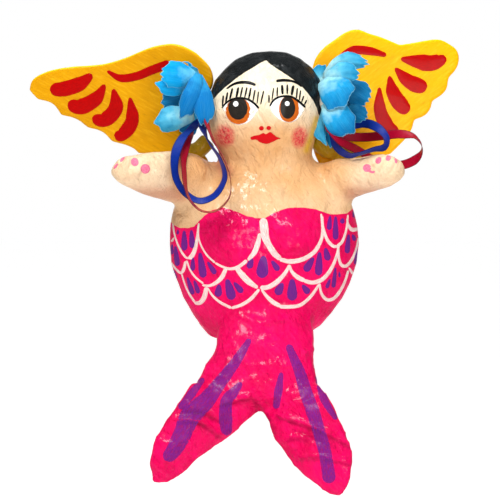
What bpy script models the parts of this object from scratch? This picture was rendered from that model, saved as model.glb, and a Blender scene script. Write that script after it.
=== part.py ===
"""Papier-mache winged mermaid doll: body shells, paper limbs, board wings, cloth flowers and ribbons.

Figure coordinates are in millimetres: X to the figure's left hand (the viewer's right), Y to its back
from the seam between the two body shells, Z up from the lowest point of the tail. The empty "figure"
carries every piece and puts the hanging eye at the world origin.
"""
from math import acos, atan2, cos, pi, sin

import bmesh
import bpy
import numpy as np
from mathutils import Matrix, Vector

MM = 0.001

# driving dimensions, mm
WALL = 3.0                 # papier-mache wall of the two body shells
GAP = 0.35                 # clearance between touching pieces
BOARD = 5.0                # thickness of the wing boards
WIRE = 1.2                 # radius of the armature wire
RIBBON_WIDTH = 6.35        # quarter-inch satin ribbon
RIBBON_THICK = 0.4
HANG_POINT = Vector((0.0, 34.5, 216.0))
EYE_RADIUS = 4.9           # the hanging eye, to the middle of its wire
EYE_WIRE = 0.9
BODY_SEGMENTS = 36
LIMB_SEGMENTS = 20

# body: height, reach to -X, reach to +X, depth to the front, depth to the back
BODY_TOP = (3.0, 0.0, 290.5)
BODY_BOTTOM = (-8.0, -3.0, 86.5)
BODY_RINGS = [
    (288.6, -10.0, 16.0, 11.0, 12.0),
    (284.5, -20.0, 25.0, 18.0, 20.0),
    (278.5, -28.0, 32.5, 25.0, 28.0),
    (270.0, -34.8, 38.0, 30.5, 34.0),
    (259.0, -39.2, 40.5, 34.5, 37.0),
    (247.0, -41.3, 40.0, 36.0, 36.5),
    (237.0, -40.6, 37.5, 35.5, 33.0),
    (228.0, -37.0, 34.5, 33.0, 30.0),
    (219.5, -30.5, 32.5, 29.0, 27.0),
    (213.0, -27.0, 33.5, 26.5, 25.0),
    (207.0, -34.0, 40.0, 26.5, 25.5),
    (200.0, -47.0, 49.0, 29.0, 27.5),
    (191.5, -57.0, 57.0, 32.5, 30.5),
    (182.0, -63.5, 61.5, 36.0, 33.5),
    (170.0, -66.4, 64.5, 38.5, 35.5),
    (156.5, -66.8, 65.8, 39.5, 36.5),
    (143.5, -65.6, 64.3, 40.5, 36.0),
    (131.0, -62.0, 60.3, 41.0, 34.5),
    (119.5, -57.3, 55.0, 40.0, 31.5),
    (109.0, -51.5, 47.5, 36.5, 27.0),
    (100.0, -46.0, 39.5, 31.5, 22.0),
    (92.5, -39.5, 29.0, 24.0, 16.5),
    (88.2, -28.0, 13.0, 14.0, 9.5),
]
BREASTS = [(-25.0, 161.0), (19.0, 163.0)]
BREAST_RADIUS = 24.0
BREAST_HEIGHT = 7.5

# limbs: centre of the ring, half extent across (X, Y, Z), half extent through (X, Y, Z)
ARM_LEFT_RINGS = [
    ((-40, -2, 200), (6, -9, 0), (0, 0, 13)),
    ((-50, -10, 202), (8.5, -13, 0), (2, 0, 17)),
    ((-62, -19, 203.5), (8, -13.5, 0), (3, 0, 17.5)),
    ((-75, -29, 205.5), (7, -12, 0), (4, 0, 15)),
    ((-87, -37, 207.8), (5.5, -10.5, 0), (4, 0, 11.5)),
    ((-95.5, -42, 209), (4, -8, 0), (3, 0, 8.6)),
    ((-99.5, -44, 209.8), (2.5, -5, 0), (2, 0, 5.2)),
]
ARM_LEFT_ENDS = [(-38, -1, 200), (-101.2, -45, 210)]
ARM_RIGHT_RINGS = [
    ((40, -2, 201), (4, 9, 0), (0, 0, 12)),
    ((51, -8, 202), (6.5, 12, 0), (-1, 0, 14)),
    ((62, -14, 203), (6.5, 12, 0), (-1, 0, 13.4)),
    ((72, -20, 205.5), (6, 11.5, 0), (-2, 0, 12)),
    ((81, -26, 208), (5.5, 11, 0), (-2, 0, 11.4)),
    ((87.5, -30, 209), (4, 8.5, 0), (-2, 0, 8.6)),
    ((91, -32, 209.4), (2.5, 5, 0), (-1, 0, 5.2)),
]
ARM_RIGHT_ENDS = [(38, -1, 201), (92.6, -33, 209.6)]
TAIL_RINGS = [
    ((-1, -14, 124), (24, 0, 0), (0, -9, 7)),
    ((0, -24, 112), (31, 0, 0), (0, -14, 10)),
    ((0, -33, 97), (32.5, 0, 0), (0, -13.5, 8.5)),
    ((-2, -42, 83), (34, 0, 0), (0, -12, 7)),
    ((-5.5, -51, 68), (40, 0, 0), (0, -10, 5.5)),
    ((-8.5, -58, 57), (45, 0, 0), (0, -8, 4.5)),
]
TAIL_ENDS = [(-1, -12, 128), (-8.5, -60, 54)]
FLUKE_LEFT_RINGS = [
    ((-28, -58, 58), (-20, -3, 10.5), (1, -7, 3)),
    ((-40, -66, 46.5), (-15.5, -3, 12.5), (2, -8, 4)),
    ((-52, -71, 36), (-12.5, -2, 12.5), (2, -7.5, 4)),
    ((-62, -76, 25), (-9.5, -2, 10.5), (2, -6.5, 3.5)),
    ((-69, -80, 15), (-6, -1, 6.5), (1, -4.5, 2.5)),
]
FLUKE_LEFT_ENDS = [(-24, -55, 64), (-72, -82, 8)]
FLUKE_RIGHT_RINGS = [
    ((16.5, -58, 60), (18, -3, 8), (-1, -7, 3)),
    ((25, -67, 44), (18.5, -2, 11), (-1, -8, 4)),
    ((33.5, -74, 31), (16.5, -2, 12.5), (-2, -7.5, 4)),
    ((42.5, -79, 18), (13, -1, 10), (-1, -6.5, 3)),
    ((47, -83, 6.5), (6.5, -1, 6), (0, -4.5, 2)),
]
FLUKE_RIGHT_ENDS = [(14, -54, 67), (46.5, -85, 0)]

# wings: pivot on the shoulder, lean and sweep in degrees, then the outline in the board's own plane, where
# "corner" points are cusps
WING_LEFT_AT = ((-50.0, 16.0, 225.0), 8.0, -6.0)
WING_LEFT_OUTLINE = [
    (-117.5, 40, "corner"), (-115.5, 46.5), (-108, 51.5), (-94, 55.5), (-64, 58), (-50, 61.5), (-34, 67.5),
    (-22, 71), (-12, 71.5), (-3, 68.5), (6, 62.5), (14.5, 50), (12, 38), (0, 29), (-8, 20), (-9, 10),
    (-6, 2.5),
    (4, -3), (10, -14), (0, -22), (-15, -20), (-20, -8), (-40, -5, "corner"), (-43.5, -1.5),
    (-59, 3.5, "corner"),
    (-66, 10.5), (-76, 13.5, "corner"), (-84, 19.5), (-95, 22.5, "corner"), (-101, 30.5),
    (-111.5, 33.5, "corner"),
]
WING_RIGHT_AT = ((50.0, 18.0, 225.0), -8.0, 6.0)
WING_RIGHT_OUTLINE = [
    (-17, 5), (-17, 30), (-15, 57), (-9.5, 68), (1.5, 77), (10, 82.5), (17.5, 84), (25, 81.5), (34, 79),
    (48, 73, "corner"), (58, 75), (66.5, 76.5), (77.5, 77.5), (85, 74), (90, 70), (91.5, 65), (89.5, 56.5),
    (83.5, 49.5, "corner"), (81, 40), (71, 32.5, "corner"), (70, 28), (66, 22.5), (57.5, 19, "corner"),
    (55, 11), (39.5, -6, "corner"), (24, -9), (12, -20), (-4, -22), (-12, -12),
]

# papier-mache fillets that bind each wing to the shoulder: route and radii
FILLETS = {
    "wing_fillet_left_front": ([(-63, 10.5, 220), (-55, 10.5, 220.5), (-47, 11, 222), (-40, 12.5, 229)], 6.0),
    "wing_fillet_left_back": ([(-62, 24, 212), (-54, 25, 215), (-46, 26.5, 219)], 5.0),
    "wing_fillet_right_front": ([(35, 12, 230), (43, 11.5, 222), (54, 11, 220), (67, 11.5, 217)], 5.5),
    "wing_fillet_right_back": ([(62, 25, 211), (54, 25, 214), (46, 26.5, 218)], 5.0),
}

# flowers: centre on the temple, direction the flower faces, radii of its three petal layers
FLOWERS = {
    "left": (Vector((-42.5, -10.0, 256.0)), Vector((-0.80, -0.58, 0.10)), (25.0, 21.0, 15.0)),
    "right": (Vector((42.0, -10.0, 255.0)), Vector((0.78, -0.60, 0.05)), (29.0, 24.5, 18.0)),
}
PETAL_LAYERS = [("outer", 8.2, 0.16, 7), ("middle", 10.2, 0.42, 6), ("inner", 12.4, 0.95, 5)]
PETAL_THICK = 0.7
PETAL_SEGMENTS = 28

# ribbon loops: points of the centre line, each with the direction that the ribbon's width lies in
RIBBONS = {
    "ribbon_blue_left": [
        ((-45, -5, 244), (1, 0, 0)), ((-49.5, -9, 237.5), (0.9, 0.3, 0.2)),
        ((-56, -24, 230), (0.8, 0.5, 0.3)),
        ((-60, -42, 218), (0.9, 0.45, 0.1)), ((-59.5, -46, 204), (0.8, 0.6, 0)),
        ((-53.5, -48, 193.5), (0.5, 0.7, 0.4)),
        ((-44, -48, 188), (0.1, 0.7, 0.7)), ((-34.5, -47, 191), (-0.3, 0.7, 0.6)),
        ((-28.5, -45.5, 199), (-0.6, 0.8, 0.3)),
        ((-27.3, -44, 206.5), (-0.5, 0.85, 0)), ((-31.2, -41, 217), (-0.3, 0.9, 0)),
        ((-39, -32.5, 228), (-0.2, 0.95, 0)),
        ((-42.7, -22.5, 237.5), (0.5, 0.85, 0)), ((-41.8, -17, 244), (0.9, -0.4, 0)),
    ],
    "ribbon_red_left": [
        ((-39.3, -22, 245), (0.6, 0.6, 0)), ((-39.3, -27.5, 238.5), (0.25, 0.95, 0)),
        ((-34.3, -35.5, 227), (0.05, 1, 0.1)),
        ((-28, -41.5, 216), (0.05, 1, 0.1)), ((-23.7, -44.5, 204), (0, 1, 0)),
        ((-24, -47, 191), (-0.1, 1, 0.1)),
        ((-32, -51, 182), (0, 1, 0.15)), ((-41.5, -54, 181.5), (0.1, 1, 0.1)),
        ((-49, -57.5, 188), (0.2, 0.95, 0)),
        ((-52.5, -55, 197), (0.3, 0.95, 0)), ((-54, -44, 207), (0.35, 0.93, 0)),
        ((-55, -32, 217.5), (0.6, 0.75, 0.1)),
        ((-53.5, -14.5, 228.5), (0.8, 0.55, 0.1)), ((-50.5, -1, 236.5), (0.5, 0.85, 0)),
        ((-45.5, 3, 243), (0.2, 1, 0)),
    ],
    "ribbon_blue_right": [
        ((45.5, -3, 240), (0.3, 0.5, 1)), ((52.5, 3, 239), (0, 0.3, 1)), ((61, 4.5, 239.5), (0, 0.2, 1)),
        ((70, 1, 240.5), (0, 0.25, 1)), ((77.5, -8, 237), (0.4, 0.4, 0.8)),
        ((82, -17, 230.5), (0.9, 0.5, 0.2)),
        ((80.5, -24, 224), (0.6, 0.7, -0.5)), ((72.5, -27.5, 222), (0.1, 0.8, -0.5)),
        ((63, -26, 219), (-0.1, 0.9, -0.4)),
        ((56, -21, 218.5), (-0.4, 0.9, -0.3)), ((49.5, -14, 223), (-0.5, 0.8, -0.2)),
        ((45.5, -10, 231), (-0.7, 0.7, 0)),
        ((44, -8, 238), (-0.9, 0.4, 0)),
    ],
    "ribbon_red_right": [
        ((41.5, -14.5, 241), (0.9, 0.4, 0)), ((43, -18.5, 235), (0.5, 0.8, 0)),
        ((48, -20.5, 229.5), (0.5, 0.6, 0.5)),
        ((54, -16.5, 226), (0.4, 0.6, 0.6)), ((60, -9.5, 223.5), (0.3, 0.6, 0.7)),
        ((66, -2.5, 221), (0.3, 0.5, 0.8)),
        ((75, 3, 215.5), (0, 0.3, 1)),
        ((85, 1, 211.5), (-0.1, 0, 1)), ((93.5, -6, 211.3), (-0.2, 0.1, 1)),
        ((101, -12, 214), (-0.4, 0.3, 0.8)),
        ((106, -16, 219), (0, 1, 0.4)), ((106.5, -17, 225), (0.2, 1, 0.3)),
        ((102, -15, 230.5), (0.3, 0.3, 0.9)),
        ((93, -9, 232.8), (0, 0.1, 1)), ((82, -1, 232), (0, 0.1, 1)), ((70, 7, 231), (0, 0.1, 1)),
        ((58, 9, 231.5), (0, 0.15, 1)), ((50, 6, 233), (0, 0.3, 1)), ((45, 1.5, 233.5), (0.3, 0.4, 1)),
    ],
}
RIBBON_STEPS = 32

# armature wires
ARM_WIRES = {
    "arm_wire_left": [(-28, -9, 197), (-46, -11, 201), (-64, -20, 203.5), (-86, -36, 207.5)],
    "arm_wire_right": [(28, -9, 199), (46, -10, 201.5), (62, -14, 203), (81, -26, 208)],
}
TAIL_WIRES = {
    "tail_wire_left": [(-7, -10, 122), (-12, -28, 104), (-18, -44, 82), (-28, -58, 62), (-45, -68, 44),
                       (-61, -76, 27)],
    "tail_wire_right": [(7, -10, 122), (9, -28, 104), (11, -44, 82), (17, -58, 62), (29, -68, 43),
                        (43, -78, 20)],
}

SKIN = (0.90, 0.68, 0.42)
MAGENTA = (1.0, 0.01, 0.16)
YELLOW = (1.0, 0.50, 0.01)
OLIVE = (0.50, 0.36, 0.02)
PAPER = (0.55, 0.50, 0.42)
STEEL = (0.45, 0.45, 0.46)
LEAF = (0.10, 0.30, 0.06)
GLUE = (0.85, 0.80, 0.70)
PETAL = (0.02, 0.30, 0.62)
BLUE = (0.01, 0.05, 0.50)
CRIMSON = (0.50, 0.0, 0.03)


def clear_scene():
    for old in list(bpy.data.objects):
        bpy.data.objects.remove(old)


def make_collection(name):
    collection = bpy.data.collections.new(name)
    bpy.context.scene.collection.children.link(collection)
    return collection


def make_material(name, color, roughness, metallic=0.0):
    material = bpy.data.materials.new(name)
    material.use_nodes = True
    shader = material.node_tree.nodes["Principled BSDF"]
    shader.inputs["Base Color"].default_value = (*color, 1.0)
    shader.inputs["Roughness"].default_value = roughness
    shader.inputs["Metallic"].default_value = metallic
    return material


def make_figure_empty():
    """The figure's own frame, in metres, placed so that the hanging point is the world origin."""
    empty = bpy.data.objects.new("figure", None)
    empty.location = -HANG_POINT * MM
    PARTS.objects.link(empty)
    return empty


def add_object(name, data, color=None, roughness=0.3, metallic=0.0):
    """A named piece under the figure's empty; one without a colour is a cutter, left out of the model."""
    obj = bpy.data.objects.new(name, data)
    obj.parent = FIGURE
    if color is None:
        CUTTERS.objects.link(obj)
        obj.hide_render = True
        obj.display_type = "WIRE"
    else:
        PARTS.objects.link(obj)
        data.materials.append(make_material(name, color, roughness, metallic))
    return obj


def face_outward(bm):
    bmesh.ops.recalc_face_normals(bm, faces=bm.faces)
    if bm.calc_volume(signed=True) < 0:
        bmesh.ops.reverse_faces(bm, faces=bm.faces)
    bm.normal_update()


def finish_mesh(name, bm):
    face_outward(bm)
    mesh = bpy.data.meshes.new(name)
    bm.to_mesh(mesh)
    bm.free()
    mesh.shade_smooth()
    mesh.set_sharp_from_angle(angle=pi / 4)
    return mesh


def swell(bm, distance):
    """Moves every point of a closed form along its own normal."""
    face_outward(bm)
    for vert, normal in [(vert, vert.normal.copy()) for vert in bm.verts]:
        vert.co += normal * distance * MM


def ringed_form(name, rings, ends, segments, grow=0.0):
    """A sphere whose parallels are moved onto the rings, each a function from angle to point in mm."""
    bm = bmesh.new()
    rows = len(rings) + 1
    bmesh.ops.create_uvsphere(bm, u_segments=segments, v_segments=rows, radius=1.0)
    for vert in bm.verts:
        row = round(acos(max(-1.0, min(1.0, vert.co.z))) / pi * rows)
        angle = atan2(vert.co.y, vert.co.x)
        if row in (0, rows):
            point = Vector(ends[0 if row == 0 else 1])
        else:
            point = rings[row - 1](angle)
        vert.co = point * MM
    if grow:
        swell(bm, grow)
    return finish_mesh(name, bm)


def body_ring(height, left, right, front, back):
    """One level of the body: an oval, unlike in front and behind, with the breasts raised on it."""
    middle = (left + right) / 2
    half = (right - left) / 2

    def point(angle):
        x = middle + half * cos(angle)
        y = sin(angle) * (back if sin(angle) > 0 else front)
        if y < 0:
            for breast_x, breast_z in BREASTS:
                reach = ((x - breast_x) ** 2 + (height - breast_z) ** 2) ** 0.5 / BREAST_RADIUS
                if reach < 1:
                    y -= BREAST_HEIGHT * (1 + cos(pi * reach)) / 2
        return Vector((x, y, height))

    return point


def oval_ring(centre, across, through):
    centre, across, through = Vector(centre), Vector(across), Vector(through)
    return lambda angle: centre + across * cos(angle) + through * sin(angle)


def body_mesh(name, grow=0.0):
    rings = [body_ring(*ring) for ring in BODY_RINGS]
    return ringed_form(name, rings, (BODY_TOP, BODY_BOTTOM), BODY_SEGMENTS, grow)


def limb_mesh(name, rings, ends, grow=0.0):
    return ringed_form(name, [oval_ring(*ring) for ring in rings], ends, LIMB_SEGMENTS, grow)


def cut(obj, *cutters):
    for cutter in cutters:
        modifier = obj.modifiers.new("cut_" + cutter.name, "BOOLEAN")
        modifier.operation = "DIFFERENCE"
        modifier.object = cutter
    return obj


def box_cutter(name, low, high):
    bm = bmesh.new()
    size = [(b - a) * MM for a, b in zip(low, high)]
    centre = Vector([(a + b) / 2 * MM for a, b in zip(low, high)])
    bmesh.ops.create_cube(bm, size=1.0, matrix=Matrix.Translation(centre) @ Matrix.Diagonal((*size, 1.0)))
    return add_object(name, finish_mesh(name, bm))


def smooth_route(points, steps):
    """Points spread evenly along a Catmull-Rom curve through the given ones."""
    points = [Vector(point) for point in points]
    padded = [points[0] * 2 - points[1], *points, points[-1] * 2 - points[-2]]
    dense = []
    for a, b, c, d in zip(padded, padded[1:], padded[2:], padded[3:]):
        for t in np.linspace(0, 1, 12, endpoint=False):
            dense.append(0.5 * (2 * b + (c - a) * t + (2 * a - 5 * b + 4 * c - d) * t**2
                                + (3 * b - a - 3 * c + d) * t**3))
    dense.append(points[-1])
    lengths = np.cumsum([0] + [(q - p).length for p, q in zip(dense, dense[1:])])
    targets = np.linspace(0, lengths[-1], steps)
    columns = [np.interp(targets, lengths, [p[axis] for p in dense]) for axis in range(3)]
    return [Vector(column) for column in zip(*columns)]


def tube_mesh(name, route, radius, sides=2):
    """A round rod along the route, in mm, made as a filled bevelled curve and read back as a closed mesh."""
    curve = bpy.data.curves.new(name, "CURVE")
    curve.dimensions = "3D"
    curve.bevel_depth = radius * MM
    curve.bevel_resolution = sides
    curve.use_fill_caps = True
    spline = curve.splines.new("POLY")
    spline.points.add(len(route) - 1)
    for spot, point in zip(spline.points, route):
        spot.co = (*(Vector(point) * MM), 1.0)
    return mesh_from_curve(name, curve)


def mesh_from_curve(name, curve):
    source = bpy.data.objects.new(name + "_curve", curve)
    PARTS.objects.link(source)
    graph = bpy.context.evaluated_depsgraph_get()
    mesh = bpy.data.meshes.new_from_object(source.evaluated_get(graph))
    mesh.name = name
    bpy.data.objects.remove(source)
    bm = bmesh.new()
    bm.from_mesh(mesh)
    bmesh.ops.remove_doubles(bm, verts=bm.verts, dist=0.00001)
    face_outward(bm)
    bm.to_mesh(mesh)
    bm.free()
    return mesh


def make_body():
    """Two half shells that meet on the seam, and the glued strip that bridges them inside."""
    inside = add_object("cavity", body_mesh("cavity", grow=-WALL))
    front_half = box_cutter("front_half", (-200, -200, -50), (200, GAP / 2, 400))
    back_half = box_cutter("back_half", (-200, -GAP / 2, -50), (200, 200, 400))
    shells = {}
    for name, half in (("body_shell_front", back_half), ("body_shell_back", front_half)):
        shells[name] = cut(add_object(name, body_mesh(name), SKIN), inside, half)
    strip = add_object("seam_strip", body_mesh("seam_strip", grow=-WALL - GAP), PAPER, 0.9)
    strip_core = add_object("seam_strip_core", body_mesh("seam_strip_core", grow=-WALL - GAP - 1.5))
    ahead = box_cutter("strip_ahead", (-200, -200, -50), (200, -4.5, 400))
    behind = box_cutter("strip_behind", (-200, 4.5, -50), (200, 200, 400))
    cut(strip, strip_core, ahead, behind)
    return shells


def make_limbs(body_gap):
    """Rolled-paper arms, the flattened tail root and the two tail flukes, each cut to fit what it joins."""
    limbs = {}
    for name, rings, ends, color in (
        ("arm_left", ARM_LEFT_RINGS, ARM_LEFT_ENDS, SKIN),
        ("arm_right", ARM_RIGHT_RINGS, ARM_RIGHT_ENDS, SKIN),
        ("tail_root", TAIL_RINGS, TAIL_ENDS, MAGENTA),
        ("tail_fluke_left", FLUKE_LEFT_RINGS, FLUKE_LEFT_ENDS, MAGENTA),
        ("tail_fluke_right", FLUKE_RIGHT_RINGS, FLUKE_RIGHT_ENDS, MAGENTA),
    ):
        limbs[name] = add_object(name, limb_mesh(name, rings, ends), color)
    tail_gap = add_object("tail_gap", limb_mesh("tail_gap", TAIL_RINGS, TAIL_ENDS, grow=GAP))
    for name in ("arm_left", "arm_right", "tail_root"):
        cut(limbs[name], body_gap)
    for name in ("tail_fluke_left", "tail_fluke_right"):
        cut(limbs[name], tail_gap)
    return limbs


def make_wires(shells, limbs):
    """Steel armature wires, each lying in a drilled channel through the pieces that it joins."""
    sleeves = {
        "arm_wire_left": [limbs["arm_left"]],
        "arm_wire_right": [limbs["arm_right"]],
        "tail_wire_left": [limbs["tail_root"], limbs["tail_fluke_left"]],
        "tail_wire_right": [limbs["tail_root"], limbs["tail_fluke_right"]],
    }
    for name, points in {**ARM_WIRES, **TAIL_WIRES}.items():
        route = smooth_route(points, 9)
        start, end = (route[0] - route[1]).normalized(), (route[-1] - route[-2]).normalized()
        longer = [route[0] + start, *route[1:-1], route[-1] + end]
        add_object(name, tube_mesh(name, route, WIRE, 1), STEEL, 0.4, 1.0)
        channel = add_object(name + "_channel", tube_mesh(name + "_channel", longer, WIRE + GAP, 1))
        for sleeve in (shells["body_shell_front"], *sleeves[name]):
            cut(sleeve, channel)


def make_hanger(shells, body_gap):
    """A bent wire eye through the upper back, with the paper patch that covers its two legs."""
    middle = HANG_POINT + Vector((0, 0, EYE_WIRE - EYE_RADIUS))
    leg = [(-EYE_RADIUS, -15, -8), (-EYE_RADIUS, -4.5, -7.5), (-EYE_RADIUS, -1, -4.5)]
    arc = [(-EYE_RADIUS * cos(a), 0, EYE_RADIUS * sin(a)) for a in np.linspace(0, pi, 11)]
    route = [middle + Vector(spot) for spot in [*leg, *arc, *[(-x, y, z) for x, y, z in reversed(leg)]]]
    add_object("hanging_eye", tube_mesh("hanging_eye", route, EYE_WIRE, 1), STEEL, 0.4, 1.0)
    channel = add_object("hanging_eye_channel", tube_mesh("hanging_eye_channel", route, EYE_WIRE + GAP, 1))
    cut(shells["body_shell_back"], channel)
    bm = bmesh.new()
    centre = Matrix.Translation(Vector((0, 23.5, middle.z - 8)) * MM)
    bmesh.ops.create_uvsphere(bm, u_segments=24, v_segments=12, radius=1.0,
                              matrix=centre @ Matrix.Diagonal((12 * MM, 4.5 * MM, 8 * MM, 1.0)))
    patch = add_object("hanging_patch", finish_mesh("hanging_patch", bm), SKIN)
    cut(patch, body_gap, channel)


def board_mesh(name, outline, extra=0.0):
    """A flat board with rounded edges, standing in its own XZ plane."""
    curve = bpy.data.curves.new(name, "CURVE")
    curve.dimensions = "2D"
    curve.fill_mode = "BOTH"
    curve.resolution_u = 3
    curve.render_resolution_u = 0
    curve.bevel_depth = 0.8 * MM
    curve.bevel_resolution = 1
    curve.offset = (extra - 0.8) * MM
    curve.extrude = (BOARD / 2 - 0.8 + extra) * MM
    spline = curve.splines.new("BEZIER")
    spline.bezier_points.add(len(outline) - 1)
    spline.use_cyclic_u = True
    for knot, (x, z, *corner) in zip(spline.bezier_points, outline):
        knot.co = (x * MM, z * MM, 0.0)
        knot.handle_left_type = knot.handle_right_type = "VECTOR" if corner else "AUTO"
    mesh = mesh_from_curve(name, curve)
    mesh.transform(Matrix.Rotation(pi / 2, 4, "X"))
    return mesh


def make_wings(body_gap, limbs):
    """Wing boards that stand behind the shoulders, and the papier-mache fillets that hold them there."""
    arm_gaps = {
        "left": add_object("arm_left_gap", limb_mesh("arm_left_gap", ARM_LEFT_RINGS, ARM_LEFT_ENDS,
                                                     grow=GAP)),
        "right": add_object("arm_right_gap", limb_mesh("arm_right_gap", ARM_RIGHT_RINGS, ARM_RIGHT_ENDS,
                                                       grow=GAP)),
    }
    for side, (pivot, lean, sweep), outline in (
        ("left", WING_LEFT_AT, WING_LEFT_OUTLINE),
        ("right", WING_RIGHT_AT, WING_RIGHT_OUTLINE),
    ):
        wing = add_object("wing_" + side, board_mesh("wing_" + side, outline), YELLOW, 0.35)
        gap = add_object("wing_gap_" + side, board_mesh("wing_gap_" + side, outline, extra=GAP))
        for board in (wing, gap):
            board.location = Vector(pivot) * MM
            board.rotation_euler = (lean * pi / 180, 0.0, sweep * pi / 180)
        cut(wing, body_gap, arm_gaps[side])
        for place in ("front", "back"):
            name = f"wing_fillet_{side}_{place}"
            points, radius = FILLETS[name]
            fillet = add_object(name, tube_mesh(name, smooth_route(points, 7), radius, 2), OLIVE, 0.4)
            cut(fillet, body_gap, arm_gaps[side], gap)


def petal_mesh(name, radius, height, rise, lobes):
    """A scalloped cup around +Z: its depth grows with distance from the middle by the given rise."""
    bm = bmesh.new()
    bmesh.ops.create_circle(bm, cap_ends=False, segments=PETAL_SEGMENTS, radius=2.2)
    rim = bm.edges[:]
    for reach in (0.45, 0.75, 1.0):
        grown = bmesh.ops.extrude_edge_only(bm, edges=rim)["geom"]
        rim = [item for item in grown if isinstance(item, bmesh.types.BMEdge)]
        for vert in {vert for edge in rim for vert in edge.verts}:
            angle = atan2(vert.co.y, vert.co.x)
            scallop = 1 - 0.16 * reach**3 * (0.5 + 0.5 * cos(lobes * angle))
            vert.co.x, vert.co.y = (radius * reach * scallop * part for part in (cos(angle), sin(angle)))
    for vert in bm.verts:
        run = vert.co.to_2d().length / radius
        vert.co.z = height + rise * radius * run**1.6
        vert.co *= MM
    return finish_mesh(name, bm)


def make_flowers(body_gap):
    """Each flower: a dab of glue on the temple, a green calyx, and three cupped petal layers."""
    for side, (centre, facing, radii) in FLOWERS.items():
        turn = facing.to_track_quat("Z", "Y").to_euler()
        bm = bmesh.new()
        bmesh.ops.create_uvsphere(bm, u_segments=16, v_segments=8, radius=1.0,
                                  matrix=Matrix.Diagonal((7 * MM, 7 * MM, 4.5 * MM, 1.0)))
        glue = add_object(f"flower_glue_{side}", finish_mesh(f"flower_glue_{side}", bm), GLUE, 0.5)
        bm = bmesh.new()
        bmesh.ops.create_cone(bm, cap_ends=True, segments=16, radius1=2.5 * MM, radius2=5.5 * MM,
                              depth=7.0 * MM,
                              matrix=Matrix.Translation((0, 0, 4.1 * MM)))
        calyx = add_object(f"flower_calyx_{side}", finish_mesh(f"flower_calyx_{side}", bm), LEAF, 0.7)
        bm = bmesh.new()
        bmesh.ops.create_cone(bm, cap_ends=True, segments=12, radius1=1.5 * MM, radius2=1.5 * MM,
                              depth=9.0 * MM,
                              matrix=Matrix.Translation((0, 0, 12.6 * MM)))
        stamen = add_object(f"flower_centre_{side}", finish_mesh(f"flower_centre_{side}", bm), LEAF, 0.7)
        pieces = [glue, calyx, stamen]
        for (layer, height, rise, lobes), radius in zip(PETAL_LAYERS, radii):
            name = f"petals_{layer}_{side}"
            petals = add_object(name, petal_mesh(name, radius, height, rise, lobes), PETAL, 0.8)
            solid = petals.modifiers.new("cloth", "SOLIDIFY")
            solid.thickness = PETAL_THICK * MM
            solid.offset = 0.0
            pieces.append(petals)
        for piece in pieces:
            piece.location = centre * MM
            piece.rotation_euler = turn
        calyx_gap = tube_mesh(f"calyx_gap_{side}", [(0, 0, 0.2), (0, 0, 9)], 6.0, 2)
        calyx_gap = add_object(f"calyx_gap_{side}", calyx_gap)
        calyx_gap.location, calyx_gap.rotation_euler = centre * MM, turn
        cut(glue, body_gap, calyx_gap)


def ribbon_mesh(name, spots):
    """A flat strip along a smooth curve, its width turned towards the given directions."""
    route = smooth_route([point for point, across in spots], RIBBON_STEPS)
    turns = smooth_route([across for point, across in spots], len(spots))
    places = np.linspace(0, 1, len(turns))
    bm = bmesh.new()
    bmesh.ops.create_grid(bm, x_segments=RIBBON_STEPS - 1, y_segments=2, size=1.0)
    for vert in bm.verts:
        step = round((vert.co.x + 1) / 2 * (RIBBON_STEPS - 1))
        along = (route[min(step + 1, RIBBON_STEPS - 1)] - route[max(step - 1, 0)]).normalized()
        place = step / (RIBBON_STEPS - 1)
        across = Vector([np.interp(place, places, [turn[axis] for turn in turns]) for axis in range(3)])
        across = (across - along * across.dot(along)).normalized()
        vert.co = (route[step] + across * vert.co.y * RIBBON_WIDTH / 2) * MM
    return finish_mesh(name, bm)


def make_ribbons():
    for name, spots in RIBBONS.items():
        color = BLUE if "blue" in name else CRIMSON
        ribbon = add_object(name, ribbon_mesh(name, spots), color, 0.4)
        solid = ribbon.modifiers.new("satin", "SOLIDIFY")
        solid.thickness = RIBBON_THICK * MM
        solid.offset = 0.0


clear_scene()
PARTS = make_collection("winged_mermaid")
CUTTERS = make_collection("cutters")
FIGURE = make_figure_empty()
BODY_GAP = add_object("body_gap", body_mesh("body_gap", grow=GAP))
SHELLS = make_body()
LIMBS = make_limbs(BODY_GAP)
make_wires(SHELLS, LIMBS)
make_hanger(SHELLS, BODY_GAP)
make_wings(BODY_GAP, LIMBS)
make_flowers(BODY_GAP)
make_ribbons()
bpy.context.view_layer.update()
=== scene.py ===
"""Looks of the papier-mache winged mermaid doll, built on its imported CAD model.

Figure millimetres: X to the viewer's right, Y to the back from the body's seam, Z up from the tail's tip.
The front view is a sheet that stands square to the camera through the middle of the figure, in the same
millimetres: most of the painting is drawn there and then laid on the surface behind each spot of the sheet.
"""

from math import cos, pi, radians, sin
from random import Random

import bmesh
import bpy
import numpy as np
import openvdb
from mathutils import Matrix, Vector, noise
from mathutils.bvhtree import BVHTree


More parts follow.
